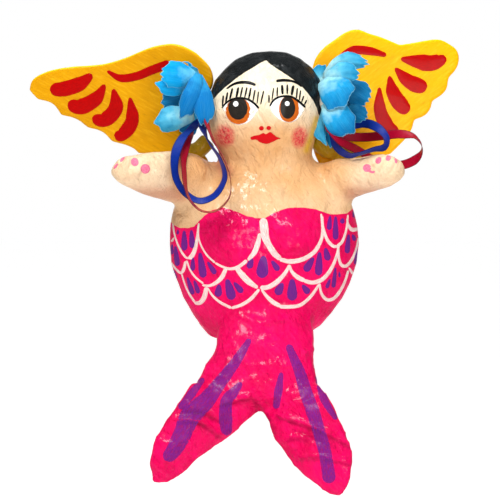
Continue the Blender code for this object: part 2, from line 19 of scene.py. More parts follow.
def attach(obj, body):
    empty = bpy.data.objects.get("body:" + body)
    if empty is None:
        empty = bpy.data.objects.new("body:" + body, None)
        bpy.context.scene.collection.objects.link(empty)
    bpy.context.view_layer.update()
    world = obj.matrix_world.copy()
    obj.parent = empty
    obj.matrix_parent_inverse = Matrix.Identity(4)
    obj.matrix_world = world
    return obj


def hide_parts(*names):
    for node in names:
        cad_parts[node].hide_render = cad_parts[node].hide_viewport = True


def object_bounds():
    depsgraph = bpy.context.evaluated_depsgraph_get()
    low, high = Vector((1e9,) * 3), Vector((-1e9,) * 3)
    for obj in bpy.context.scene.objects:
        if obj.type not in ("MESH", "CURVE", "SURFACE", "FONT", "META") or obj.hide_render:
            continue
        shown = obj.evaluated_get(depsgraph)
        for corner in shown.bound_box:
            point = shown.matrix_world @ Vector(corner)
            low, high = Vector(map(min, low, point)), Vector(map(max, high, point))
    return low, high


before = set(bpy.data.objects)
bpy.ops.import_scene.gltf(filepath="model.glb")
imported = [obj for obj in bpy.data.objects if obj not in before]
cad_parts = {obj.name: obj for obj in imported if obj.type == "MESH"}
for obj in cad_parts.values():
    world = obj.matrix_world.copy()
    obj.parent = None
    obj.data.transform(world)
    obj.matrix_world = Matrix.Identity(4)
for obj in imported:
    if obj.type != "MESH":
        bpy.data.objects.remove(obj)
CAD_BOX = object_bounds()
MM = 0.001
HANG_POINT = Vector((0.0, 34.5, 216.0))

# camera, in figure millimetres
EYE_AT = (-10.5, -847.9, 211.5)
LOOKS_AT = (-10.5, 0.0, 152.2)
LENS = 87.43


def place(x, y, z):
    """Figure millimetres to the frame's metres."""
    return (Vector((x, y, z)) - HANG_POINT) * MM


EYE = place(*EYE_AT)
MIDDLE = place(*LOOKS_AT)
FORWARD = (MIDDLE - EYE).normalized()
RIGHT = FORWARD.cross(Vector((0, 0, 1))).normalized()
UP = RIGHT.cross(FORWARD)


def make_camera():
    data = bpy.data.cameras.new("camera")
    data.lens = LENS
    data.sensor_width = 36.0
    camera = bpy.data.objects.new("camera", data)
    camera.location = EYE
    camera.rotation_euler = FORWARD.to_track_quat("-Z", "Y").to_euler()
    bpy.context.scene.collection.objects.link(camera)
    bpy.context.scene.camera = camera


# ---------------------------------------------------------------- curves and numbers

def smooth_line(points, step, closed=False):
    """Evenly spaced points along a Catmull-Rom curve through the given ones, any number of coordinates."""
    points = np.array(points, float)
    if closed:
        points = np.vstack([points, points[:1]])
        before, after = points[-2], points[1]
    else:
        before, after = 2 * points[0] - points[1], 2 * points[-1] - points[-2]
    padded = np.vstack([before, points, after])
    ts = np.linspace(0, 1, 16, endpoint=False)[:, None]
    dense = []
    for a, b, c, d in zip(padded, padded[1:], padded[2:], padded[3:]):
        dense.append(0.5 * (2 * b + (c - a) * ts + (2 * a - 5 * b + 4 * c - d) * ts**2
                            + (3 * b - a - 3 * c + d) * ts**3))
    dense = np.vstack([*dense, points[-1:]])
    gaps = np.linalg.norm(np.diff(dense, axis=0), axis=1)
    lengths = np.concatenate([[0], np.cumsum(gaps)])
    count = max(4, int(round(lengths[-1] / step)) + 1)
    targets = np.linspace(0, lengths[-1], count)
    line = np.column_stack([np.interp(targets, lengths, column) for column in dense.T])
    return (line[:-1] if closed else line), lengths[-1]


def ease(value):
    value = np.clip(value, 0.0, 1.0)
    return value * value * (3 - 2 * value)


def edge_distance(spots, outline):
    """Signed distance of 2-D spots from a closed outline: positive inside."""
    outline = np.array(outline, float)
    best = np.full(len(spots), 1e9)
    inside = np.zeros(len(spots), bool)
    for a, b in zip(outline, np.roll(outline, -1, axis=0)):
        ab, to = b - a, spots - a
        t = np.clip(to @ ab / max(ab @ ab, 1e-9), 0, 1)
        best = np.minimum(best, np.linalg.norm(to - t[:, None] * ab, axis=1))
        if a[1] != b[1]:
            crosses = (a[1] > spots[:, 1]) != (b[1] > spots[:, 1])
            at = a[0] + (spots[:, 1] - a[1]) * ab[0] / ab[1]
            inside ^= crosses & (spots[:, 0] < at)
    return np.where(inside, best, -best)


def line_distance(spots, line):
    """Distance of 2-D spots from an open line, and how far along it the nearest place lies, from 0 to 1."""
    line = np.array(line, float)
    best = np.full(len(spots), 1e9)
    share = np.zeros(len(spots))
    for i, (a, b) in enumerate(zip(line, line[1:])):
        ab, to = b - a, spots - a
        t = np.clip(to @ ab / max(ab @ ab, 1e-9), 0, 1)
        gap = np.linalg.norm(to - t[:, None] * ab, axis=1)
        share = np.where(gap < best, (i + t) / (len(line) - 1), share)
        best = np.minimum(best, gap)
    return best, share


def front_view(points):
    """Where points (N x 3, metres) show in the front view, in millimetres."""
    away = points - np.array(EYE)
    depth = away @ np.array(FORWARD)
    scale = (MIDDLE - EYE).length / depth / MM
    x = away @ np.array(RIGHT) * scale + LOOKS_AT[0]
    z = away @ np.array(UP) * scale + LOOKS_AT[2]
    return np.column_stack([x, z])


def sight(x, z):
    """A ray from the camera through a spot of the front view."""
    spot = MIDDLE + RIGHT * (x - LOOKS_AT[0]) * MM + UP * (z - LOOKS_AT[2]) * MM
    return EYE, (spot - EYE).normalized()


def in_figure(points):
    """Points (N x 3, metres) in figure millimetres."""
    return points / MM + np.array(HANG_POINT)


def from_behind(x, z):
    """A ray that meets the back of the figure at this X and height."""
    return place(x, 300, z), Vector((0, -1, 0))


# ---------------------------------------------------------------- meshes

def make_object(name, mesh, material, body="root"):
    obj = bpy.data.objects.new(name, mesh)
    bpy.context.scene.collection.objects.link(obj)
    if material:
        mesh.materials.append(material)
    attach(obj, body)
    return obj


def mesh_arrays(nodes):
    """Points in metres and triangles of several CAD nodes as one soup."""
    points, triangles, start = [], [], 0
    for node in nodes:
        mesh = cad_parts[node].data
        mesh.calc_loop_triangles()
        co = np.empty(len(mesh.vertices) * 3, np.float32)
        mesh.vertices.foreach_get("co", co)
        tris = np.empty(len(mesh.loop_triangles) * 3, np.int32)
        mesh.loop_triangles.foreach_get("vertices", tris)
        points.append(co.reshape(-1, 3))
        triangles.append(tris.reshape(-1, 3) + start)
        start += len(mesh.vertices)
    return np.vstack(points), np.vstack(triangles)


def offset_surface(points, triangles, quads, distance, voxel):
    """The surface that lies a distance outside (or, if negative, inside) a closed one."""
    band = abs(distance) / voxel + 3
    scale = openvdb.createLinearTransform(voxelSize=voxel)
    grid = openvdb.FloatGrid.createLevelSetFromPolygons(
        points, triangles=triangles, quads=quads, transform=scale, halfWidth=band)
    return grid.convertToQuads(isovalue=distance)


def edges_of(quads):
    return np.vstack([quads[:, [a, b]] for a, b in ((0, 1), (1, 2), (2, 3), (3, 0))])


def largest_piece(points, quads):
    """Only the connected piece of a quad surface that reaches furthest."""
    label = np.arange(len(points))
    edges = edges_of(quads)
    while True:
        low = np.minimum(label[edges[:, 0]], label[edges[:, 1]])
        new = label.copy()
        np.minimum.at(new, edges[:, 0], low)
        np.minimum.at(new, edges[:, 1], low)
        new = new[new]
        if (new == label).all():
            break
        label = new
    outermost = label[points[:, 0].argmin()]
    keep = label == outermost
    index = np.cumsum(keep) - 1
    return points[keep], index[quads[keep[quads[:, 0]]]]


def relax(points, quads, rounds, amount=0.5):
    """Moves each point towards the mean of its neighbours."""
    edges = edges_of(quads)
    count = np.bincount(edges.ravel(), minlength=len(points))[:, None]
    for _ in range(rounds):
        total = np.zeros_like(points)
        for axis in range(3):
            total[:, axis] = (np.bincount(edges[:, 0], points[edges[:, 1], axis], len(points))
                              + np.bincount(edges[:, 1], points[edges[:, 0], axis], len(points)))
        points = points + amount * (total / count - points)
    return points


def blended_surface(nodes, reach, voxel, rounds=4):
    """The outside of several CAD nodes as one skin, with every inner corner filled to a radius of reach."""
    points, triangles = mesh_arrays(nodes)
    none = np.zeros((0, 4), np.int32)
    points, quads = offset_surface(points, triangles, none, reach * MM, voxel * MM)
    points, quads = largest_piece(points, quads)
    points, quads = offset_surface(points.astype(np.float32), np.zeros((0, 3), np.int32),
                                   quads.astype(np.int32), -reach * MM, voxel * MM)
    points, quads = largest_piece(points, quads)
    return relax(points.astype(float), quads, rounds), quads


def normals_of(points, quads):
    across = np.cross(points[quads[:, 2]] - points[quads[:, 0]], points[quads[:, 3]] - points[quads[:, 1]])
    total = np.zeros_like(points)
    for axis in range(3):
        for corner in range(4):
            total[:, axis] += np.bincount(quads[:, corner], across[:, axis], len(points))
    return total / np.maximum(np.linalg.norm(total, axis=1), 1e-12)[:, None]


def pushed_out(points, normals, height):
    """Points moved along their normals by a height in millimetres."""
    return points + normals * (height * MM)[:, None]


def outward_quads(points, quads):
    centre = points.mean(axis=0)
    if (normals_of(points, quads) * (points - centre)).sum() < 0:
        return quads[:, ::-1].copy()
    return quads


def quad_mesh(name, points, quads, normals=None):
    mesh = bpy.data.meshes.new(name)
    mesh.from_pydata(points.tolist(), [], quads.tolist())
    mesh.shade_smooth()
    if normals is not None:
        mesh.normals_split_custom_set_from_vertices(normals.tolist())
    return mesh


def add_grid(bm, layer, rows, run=1.0, material_index=0):
    """Faces between rows of vertices; their UVs run along the grid up to run, and across it from -1 to 1."""
    last, side = len(rows) - 1, len(rows[0]) - 1
    for i in range(last):
        for j in range(side):
            corners = ((i, j), (i + 1, j), (i + 1, j + 1), (i, j + 1))
            face = bm.faces.new([rows[a][b] for a, b in corners])
            face.smooth = True
            face.material_index = material_index
            for loop, (a, b) in zip(face.loops, corners):
                loop[layer].uv = (a * run / last, 2 * b / side - 1)


def store(mesh, name, values):
    attribute = mesh.attributes.new(name, "FLOAT", "POINT")
    attribute.data.foreach_set("value", np.asarray(values, np.float32))


def lumps(points, size, seed):
    """Smooth noise from -1 to 1 at every point, with lumps about so many millimetres wide."""
    shift = Vector((seed * 17.3, seed * 5.1, -seed * 9.7))
    return np.array([noise.noise(Vector(p) / (size * MM) + shift) for p in points])


def creases(points, size, seed):
    """Nearly 1 along the borders of crumpled facets, and falling to 0 inside them."""
    shift = Vector((seed * 3.7, -seed * 8.9, seed * 2.3))
    found = []
    for p in points:
        distances = noise.voronoi(Vector(p) / (size * MM) + shift)[0]
        found.append(distances[1] - distances[0])
    return np.exp(-np.array(found) / 0.12)


# ---------------------------------------------------------------- material helpers

def new_material(name):
    material = bpy.data.materials.new(name)
    material.use_nodes = True
    tree = material.node_tree
    return material, tree, tree.nodes["Principled BSDF"]


def node(tree, kind, inputs=None, **settings):
    made = tree.nodes.new("ShaderNode" + kind)
    for key, value in settings.items():
        setattr(made, key, value)
    for key, value in (inputs or {}).items():
        socket = made.inputs[key]
        if hasattr(value, "links"):
            tree.links.new(value, socket)
        else:
            socket.default_value = value
    return made


def attribute(tree, name):
    return node(tree, "Attribute", attribute_name=name).outputs["Fac"]


def math(tree, operation, a, b=0.0, clamp=False):
    return node(tree, "Math", {0: a, 1: b}, operation=operation, use_clamp=clamp).outputs[0]


def remap(tree, value, low, high, to_low=0.0, to_high=1.0):
    inputs = {"Value": value, "From Min": low, "From Max": high, "To Min": to_low, "To Max": to_high}
    return node(tree, "MapRange", inputs).outputs["Result"]


def swing(tree, value, amount):
    """Noise made to swing evenly about zero."""
    return math(tree, "MULTIPLY", math(tree, "SUBTRACT", value, 0.5), amount)


def mix(tree, factor, a, b, blend="MIX"):
    made = node(tree, "Mix", data_type="RGBA", blend_type=blend)
    for index, value in ((0, factor), (6, a), (7, b)):
        if hasattr(value, "links"):
            tree.links.new(value, made.inputs[index])
        else:
            made.inputs[index].default_value = value if index == 0 else (*value, 1.0)
    return made.outputs[2]


def object_coordinates(tree, stretch=(1, 1, 1), turn=(0, 0, 0)):
    """The object's own coordinates, turned first and then stretched, so that streaks can run slantwise."""
    source = node(tree, "TexCoord").outputs["Object"]
    turned = node(tree, "Mapping", {"Vector": source, "Rotation": turn}).outputs["Vector"]
    return node(tree, "Mapping", {"Vector": turned, "Scale": stretch}).outputs["Vector"]


def noise_texture(tree, vector, scale, detail=3.0, rough=0.5, distortion=0.0):
    inputs = {"Vector": vector, "Scale": scale, "Detail": detail, "Roughness": rough,
              "Distortion": distortion}
    return node(tree, "TexNoise", inputs).outputs["Fac"]


def strip_coordinates(tree, uv_map):
    """A strip's UV vector, the way along it, and the distance from its middle line, 1 at the edge."""
    uv = node(tree, "UVMap", uv_map=uv_map).outputs["UV"]
    parts = node(tree, "SeparateXYZ", {"Vector": uv})
    return uv, parts.outputs["X"], math(tree, "ABSOLUTE", parts.outputs["Y"])


def set_inputs(shader, values):
    for name, value in values.items():
        shader.inputs[name].default_value = value


def bumped(tree, shader, height, strength, distance):
    inputs = {"Height": height, "Strength": strength, "Distance": distance * MM}
    made = node(tree, "Bump", inputs)
    if shader.inputs["Normal"].links:
        tree.links.new(shader.inputs["Normal"].links[0].from_socket, made.inputs["Normal"])
    tree.links.new(made.outputs["Normal"], shader.inputs["Normal"])


def varnish(shader, roughness=0.45, coat=0.22, coat_roughness=0.08):
    set_inputs(shader, {"Roughness": roughness, "Specular IOR Level": 0.06, "Coat Weight": coat,
                        "Coat Roughness": coat_roughness, "Coat IOR": 1.5})


def patchy_gloss(tree, shader, most):
    """Varnish brushed on unevenly, so that its shine breaks up into small glints."""
    patches = noise_texture(tree, object_coordinates(tree, (1.0, 1.0, 0.7), (0.3, 0.4, 0.0)), 380.0, 4.0, 0.7)
    tree.links.new(remap(tree, patches, 0.48, 0.58, 0.02, most), shader.inputs["Coat Weight"])


def paper_relief(tree, shader, wrinkle=0.8):
    """Layered paper under the varnish: pulp grain, long soft wrinkles and the brush's drag."""
    at = object_coordinates(tree)
    grain = noise_texture(tree, at, 900.0, 4.0, 0.6)
    bumped(tree, shader, grain, 0.15, 0.4)
    brushed = object_coordinates(tree, (1.0, 1.0, 0.5), (0.4, 0.2, 0.0))
    fine = noise_texture(tree, brushed, 420.0, 4.0, 0.65, 1.5)
    bumped(tree, shader, fine, 0.6, 1.3)
    slanted = object_coordinates(tree, (1.0, 1.0, 0.35), (0.0, 0.5, 0.3))
    folds = noise_texture(tree, slanted, 210.0, 3.0, 0.6, 1.2)
    ridged = math(tree, "ABSOLUTE", math(tree, "SUBTRACT", folds, 0.5))
    bumped(tree, shader, math(tree, "SUBTRACT", 0.5, ridged), wrinkle, 2.6)
    crumple = noise_texture(tree, object_coordinates(tree, (1.0, 1.0, 0.8)), 110.0, 2.0, 0.5, 0.8)
    bumped(tree, shader, crumple, 0.7, 4.0)
    drag = noise_texture(tree, object_coordinates(tree, (1, 1, 0.12), (0.2, 0.9, 0)), 700.0, 2.0)
    bumped(tree, shader, drag, 0.10, 0.5)


# ---------------------------------------------------------------- body, arms and tail

# pieces of the painted figure: name, slot, and the CAD nodes that each one replaces
SKIN_PIECES = [
    ("body_skin", "painted_skin", ["body_shell_front", "body_shell_back"]),
    ("arm_left_skin", "painted_skin", ["arm_left"]),
    ("arm_right_skin", "painted_skin", ["arm_right"]),
    ("tail_skin", "painted_tail", ["tail_root", "tail_fluke_left", "tail_fluke_right"]),
]

# the blend that makes them one skin: radius of the filled corners and voxel size, in millimetres
SKIN_REACH = 6.0
SKIN_VOXEL = 1.0

# painted borders, in the front view: the hair's lower edge and the top of the pink bodice
HAIRLINE = [(-46, 236), (-42.8, 241), (-41.6, 246), (-40.2, 250.4), (-38.6, 253.6), (-35.7, 258.1),
            (-32.4, 262), (-28.5, 265.6), (-24, 269.2), (-18.8, 273.4), (-13.6, 276.9), (-8.5, 279.8),
            (-3.3, 283.1), (0.7, 285), (4.5, 281.8), (9.7, 278.2), (14.8, 275), (19.4, 271.7),
            (23.3, 268.8), (27.1, 265.3), (30.4, 261.4), (33.6, 256.9), (36.2, 251.7), (37.2, 247.8),
            (40, 243)]
HAIR_AREA = [*HAIRLINE, (60, 243), (60, 320), (-60, 320), (-60, 236)]
BODICE_TOP = [(-90, 173), (-67, 173), (-64, 169.7), (-60, 167.9), (-54.5, 167.5), (-49.5, 168.6),
              (-45.5, 173), (-41, 177.3), (-36.5, 180.2), (-30, 182), (-24.5, 180.6), (-19.5, 179),
              (-13, 176.2), (-6, 174.5), (-1, 174.2), (3, 176.3), (8, 179), (13.5, 181), (19, 181.9),
              (27, 181.9), (35, 180.9), (41, 178.8), (46, 177.2), (51.5, 177.1), (57.5, 178), (62, 181.5),
              (66, 184), (90, 184)]
BODICE_AREA = [*BODICE_TOP, (90, 60), (-90, 60)]

# blush on the cheeks (middle, half width and half height) and two smears of other paints, in the front view
BLUSHES = [((-28.2, 231.9), (8.2, 9.2)), ((24.2, 231.0), (6.8, 8.6))]
YELLOW_SMEAR = [(29, 222), (33, 233), (36, 244)]
RED_SMEAR = [(-34, 222), (-30, 212), (-27, 207)]

# raised and sunk lines worked into the paper, in the front view: line, height in mm, half width in mm
FACE_LINES = [
    ([(-9, 250), (-5, 244), (-1.5, 239)], 0.5, 1.6),
    ([(2, 252), (-6, 246), (-13, 240)], 0.25, 1.0),
    ([(-2, 254), (-9, 248), (-16, 244)], 0.2, 0.9),
    ([(3.5, 247), (2.5, 240), (2, 237)], 0.4, 1.5),
    ([(-6, 237), (0, 238.5), (6, 237)], 0.6, 2.4),
]
CHEST_LINES = [
    ([(-46, 171), (-45, 158), (-38, 145.5), (-28, 139.5), (-17.5, 141), (-9, 148.5), (-4.5, 160), (-3.5, 174)],
     -0.5, 2.6),
    ([(-2, 174), (0, 161), (5, 151.5), (12, 145.5), (19, 144.5), (28.5, 148.5), (36.5, 155), (40, 164),
      (39.5, 176)], -0.9, 2.6),
    ([(-60, 184), (-52, 180), (-46, 181)], 0.5, 2.0),
    ([(-63, 176), (-55, 174), (-50, 176)], 0.4, 1.8),
    ([(50, 186), (57, 184), (61, 188)], 0.5, 2.0),
]
HAND_LINES = [
    ([(-107, 208), (-101, 214), (-98, 219)], -1.6, 1.2),
    ([(-98, 206.5), (-94, 212), (-92.5, 218)], -1.4, 1.3),
    ([(-88, 201), (-85.5, 207), (-86, 213)], -1.3, 1.4),
    ([(73, 211), (77.5, 215), (81, 219)], -1.4, 1.2),
    ([(78, 206), (83, 211), (87, 217)], -1.4, 1.2),
    ([(84, 203), (89, 208), (92, 213)], -1.2, 1.2),
]
TAIL_LINES = [
    ([(-33.5, 44), (-22, 47.3), (-9, 50)], 1.8, 2.0),
    ([(-9, 50), (1.5, 39), (9, 24)], 1.9, 2.0),
    ([(-9, 50), (-6, 42), (-6, 35)], -1.4, 3.0),
    ([(-62, 33.5), (-46, 32.5), (-32.5, 24), (-24, 24)], 2.0, 1.8),
    ([(-62, 38), (-46, 38), (-32, 32), (-22, 34)], -1.8, 3.0),
    ([(5.5, 38), (22.5, 32.5), (39.5, 26), (63, 14.5)], 2.2, 1.9),
    ([(18, 27), (34, 21), (50, 13)], -1.3, 3.5),
    ([(18, 7), (37.5, 8), (63, 3)], 1.6, 1.8),
    ([(14, 20), (22.5, 22), (33, 20)], 1.3, 1.6),
    ([(30, 82), (22, 70), (27, 55)], 0.9, 2.2),
    ([(-30, 86), (-26, 74), (-34, 62)], 0.9, 2.2),
    ([(-20, 108), (-4, 102), (14, 104), (30, 100)], 0.7, 3.0),
]


def soft_ridge(seen, line, half_width):
    """1 along a line of the front view, fading to its sides and to both its ends."""
    gap, share = line_distance(seen, smooth_line(line, 2.0)[0])
    ends = np.sqrt(np.clip(4 * share * (1 - share), 0, 1))
    return np.exp(-((gap / half_width) ** 2)) * ends


def worked_lines(seen, lines):
    height = np.zeros(len(seen))
    for line, rise, half_width in lines:
        height += rise * soft_ridge(seen, line, half_width)
    return height


def tail_fold_shade(seen):
    """How deep each point lies in the folds just under the tail's ridges, from 0 to 1, as the mask of the
    painted shade in them.
    """
    deep = np.zeros(len(seen))
    for line, rise, _ in TAIL_LINES:
        drop = 2.2 if rise > 0 else 0.0
        below = [(x, z - drop) for x, z in line]
        deep = np.maximum(deep, soft_ridge(seen, below, 1.7) * min(1.0, abs(rise) / 1.8))
    return deep


def shape_skin(points, quads):
    """The blended surface with its crumpled tail, its lumpy body and the lines worked into it."""
    normals = normals_of(points, quads)
    facing = ease(-normals @ np.array(FORWARD) * 1.6)
    seen = front_view(points)
    figure = in_figure(points)
    low = ease((112 - figure[:, 2]) / 26) * ease((-8 - figure[:, 1]) / 14)
    height = 0.4 * lumps(points, 16, 1) + 0.25 * lumps(points, 7, 2)
    height += low * (1.4 * lumps(points, 17, 3) + 0.8 * creases(points, 24, 1) + 0.3 * lumps(points, 6, 4))
    arm = ease((np.abs(figure[:, 0] + 2) - 56) / 12) * ease((figure[:, 2] - 186) / 8)
    height += arm * 0.5 * lumps(points, 8, 5)
    height += facing * worked_lines(seen, FACE_LINES + CHEST_LINES + HAND_LINES + TAIL_LINES)
    return pushed_out(points, normals, height)


def skin_parts(points):
    """The row of SKIN_PIECES whose CAD nodes each point of the skin lies nearest to."""
    gaps = []
    for _, _, nodes in SKIN_PIECES:
        tree = BVHTree.FromPolygons(*[part.tolist() for part in mesh_arrays(nodes)])
        gaps.append([tree.find_nearest(Vector(p))[3] for p in points])
    return np.argmin(np.array(gaps), axis=0)


def paint_borders(points):
    """Signed distances in millimetres from the painted borders, and soft masks for the tints of the skin,
    among them painted light and shade: the tan that is lighter on the brow and arms and darker under the chin,
    the shade on the undersides of the arms and the shade in the tail's folds.
    """
    seen = front_view(points)
    figure = in_figure(points)
    x, y, z = figure.T
    behind = ease((y + 4) / 8)
    nape = 221 + 2.5 * np.sin(x * 0.22) - z
    hair = edge_distance(seen, HAIR_AREA) * (1 - behind) - nape * behind
    back_edge = 175 + 0.08 * x + 3.0 * np.cos(x * 0.16) - z
    bodice = edge_distance(seen, BODICE_AREA) * (1 - behind) + back_edge * behind
    left, right = (1 - np.linalg.norm((seen - middle) / halves, axis=1) for middle, halves in BLUSHES)
    blush = np.clip(np.maximum(left, right), -1, 1) * (1 - behind)
    arm = ease((np.abs(x + 2) - 52) / 16) * ease((z - 184) / 8)
    # tan paint, partly painted light: lighter up the face to the brow and on the arms, where light from above
    # falls, and full at the neck, partly as painted shade under the chin
    tan_and_painted_light = ease((262 - z) / 34) * 0.9 - ease((205 - z) / 20) * 0.15 - arm * 0.45
    smear = np.exp(-(line_distance(seen, YELLOW_SMEAR)[0] / 2.2) ** 2) * (1 - behind)
    red = np.exp(-(line_distance(seen, RED_SMEAR)[0] / 5.0) ** 2) * (1 - behind)
    # painted shade on the undersides of the arms
    under = ease((201 - z) / 9) * ease((np.abs(x) - 50) / 8) * ease((z - 184) / 6)
    # the tan mask partly paints light and shade; the underside and fold masks are painted shade
    return {"hair": hair, "bodice": bodice, "blush": blush, "tan_and_painted_light": tan_and_painted_light, "smear": smear, "rosy": red,
            "underside_shade": under, "fold": tail_fold_shade(seen) * (1 - ease((y + 4 + (100 - z)) / 8))}


def crisp(tree, distance, wander=0.5, soft=0.12):
    """A sharp but hand-painted border from a signed distance in millimetres."""
    wobble = noise_texture(tree, object_coordinates(tree), 260.0, 3.0)
    shifted = math(tree, "ADD", distance, swing(tree, wobble, wander))
    return remap(tree, shifted, -soft, soft)


# linear paint colours
CREAM = (0.96, 0.84, 0.62)
TAN = (0.77, 0.40, 0.16)
# painted shade in the skin's wrinkles
WRINKLE_SHADE_BROWN = (0.58, 0.27, 0.10)
BLUSH_RED = (0.70, 0.015, 0.045)
OCHRE = (0.80, 0.48, 0.02)
DULL_RED = (0.42, 0.10, 0.07)
SHADED_SKIN = (0.52, 0.20, 0.11)
MAGENTA = (0.72, 0.0, 0.078)
BRIGHT_MAGENTA = (0.92, 0.0, 0.12)
BRUSHED_PINK = (0.95, 0.02, 0.2)
CHIPPED_PINK = (0.95, 0.65, 0.65)
# painted shade in the tail's folds
FOLD_SHADE_CRIMSON = (0.25, 0.0, 0.03)
BLACK = (0.006, 0.008, 0.009)
RUBBED_GREY = (0.036, 0.040, 0.042)
RIM_BLACK = (0.004, 0.004, 0.004)


def skin_colour(tree):
    """Cream at the brow to tan at the chest, a change that is partly painted light from above and painted
    shade under the chin; blotched, with blush, smears, painted shade in the wrinkles and painted shade under
    the arms.
    """
    at = object_coordinates(tree)
    blotch = swing(tree, noise_texture(tree, at, 55.0, 4.0), 0.5)
    # cream to tan, partly painted light from above and painted shade under the chin
    tan_and_painted_light = math(tree, "ADD", attribute(tree, "tan_and_painted_light"), blotch, True)
    colour = mix(tree, tan_and_painted_light, CREAM, TAN)
    wrinkles = noise_texture(tree, object_coordinates(tree, (1, 1, 0.4), (0, 0.5, 0.3)), 210.0, 3.0, 0.6, 1.2)
    ridge = math(tree, "ABSOLUTE", math(tree, "SUBTRACT", wrinkles, 0.5))
    # painted shade: brown darkening along the valleys of the wrinkle noise
    dark = remap(tree, ridge, 0.0, 0.03, 0.16, 0.0)
    colour = mix(tree, dark, colour, WRINKLE_SHADE_BROWN)
    speck = remap(tree, noise_texture(tree, at, 620.0, 3.0, 0.7), 0.42, 0.62)
    cloud = noise_texture(tree, at, 230.0, 3.0, 0.7)
    blush = attribute(tree, "blush")
    strong = remap(tree, math(tree, "ADD", blush, math(tree, "MULTIPLY", cloud, 0.5)), 0.2, 0.7)
    strong = math(tree, "MULTIPLY", strong, remap(tree, speck, 0.0, 1.0, 0.55, 1.0), True)
    colour = mix(tree, strong, colour, BLUSH_RED)
    colour = mix(tree, math(tree, "MULTIPLY", attribute(tree, "smear"), 0.8), colour, OCHRE)
    colour = mix(tree, math(tree, "MULTIPLY", attribute(tree, "rosy"), 0.75), colour, DULL_RED)
    # painted shade on the undersides of the arms
    return mix(tree, math(tree, "MULTIPLY", attribute(tree, "underside_shade"), 0.65), colour, SHADED_SKIN)


def pink_colour(tree):
    """Opaque magenta of the bodice and tail, with brushed and rubbed variation."""
    at = object_coordinates(tree)
    cloud = noise_texture(tree, at, 45.0, 4.0, 0.55)
    colour = mix(tree, remap(tree, cloud, 0.35, 0.65), MAGENTA, BRIGHT_MAGENTA)
    strokes = noise_texture(tree, object_coordinates(tree, (1, 1, 0.15), (0.3, 0.8, 0)), 500.0, 3.0)
    colour = mix(tree, remap(tree, strokes, 0.5, 0.8, 0.0, 0.35), colour, BRUSHED_PINK)
    chips = remap(tree, noise_texture(tree, at, 160.0, 5.0, 0.75), 0.73, 0.76)
    return mix(tree, math(tree, "MULTIPLY", chips, 0.7), colour, CHIPPED_PINK)


def hair_colour(tree):
    """Black paint rubbed to grey, and clean black along its outer rim."""
    at = object_coordinates(tree)
    rubbed = remap(tree, noise_texture(tree, at, 120.0, 6.0, 0.7), 0.5, 0.75)
    colour = mix(tree, math(tree, "MULTIPLY", rubbed, 0.8), BLACK, RUBBED_GREY)
    inner = remap(tree, attribute(tree, "hair"), 0.4, 1.4)
    return mix(tree, inner, RIM_BLACK, colour)


def make_painted_paper():
    """One varnished surface for shells and arms: skin, hair and bodice divided by the painted borders."""
    material, tree, shader = new_material("painted_papier_mache")
    colour = mix(tree, crisp(tree, attribute(tree, "bodice"), 0.9), skin_colour(tree), pink_colour(tree))
    hair = crisp(tree, attribute(tree, "hair"), 0.5)
    colour = mix(tree, hair, colour, hair_colour(tree))
    tree.links.new(colour, shader.inputs["Base Color"])
    varnish(shader)
    patchy_gloss(tree, shader, 0.6)
    paper_relief(tree, shader)
    return material


def make_tail_paint():
    """The same magenta, with painted shade laid dark in the folds."""
    material, tree, shader = new_material("tail_paint")
    broken = remap(tree, noise_texture(tree, object_coordinates(tree), 150.0, 3.0), 0.35, 0.6, 0.3, 1.0)
    # painted shade: dark crimson in the folds under the tail's ridges, broken up by noise
    dark = math(tree, "MULTIPLY", attribute(tree, "fold"), math(tree, "MULTIPLY", broken, 0.85))
    colour = mix(tree, dark, pink_colour(tree), FOLD_SHADE_CRIMSON)
    tree.links.new(colour, shader.inputs["Base Color"])
    varnish(shader, 0.42, 0.16, 0.12)
    patchy_gloss(tree, shader, 0.45)
    paper_relief(tree, shader, 0.8)
    return material


def make_skin():
    """The whole figure as one smooth blend, then parted into body, arms and tail with shared normals."""
    nodes = [node_name for _, _, names in SKIN_PIECES for node_name in names]
    points, quads = blended_surface(nodes, SKIN_REACH, SKIN_VOXEL)
    quads = outward_quads(points, quads)
    points = shape_skin(points, quads)
    normals = normals_of(points, quads)
    owner = skin_parts(points)[quads[:, 0]]
    borders = paint_borders(points)
    body_paint, tail_paint = make_painted_paper(), make_tail_paint()
    for number, (name, slot, replaced) in enumerate(SKIN_PIECES):
        faces = quads[owner == number]
        used, faces = np.unique(faces, return_inverse=True)
        mesh = quad_mesh(name, points[used], faces.reshape(-1, 4), normals[used])
        for border, values in borders.items():
            store(mesh, border, values[used])
        skin = make_object(name, mesh, tail_paint if slot == "painted_tail" else body_paint)
        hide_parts(*replaced)
    return BVHTree.FromPolygons(points.tolist(), quads.tolist())


# ---------------------------------------------------------------- paint strokes laid on a surface

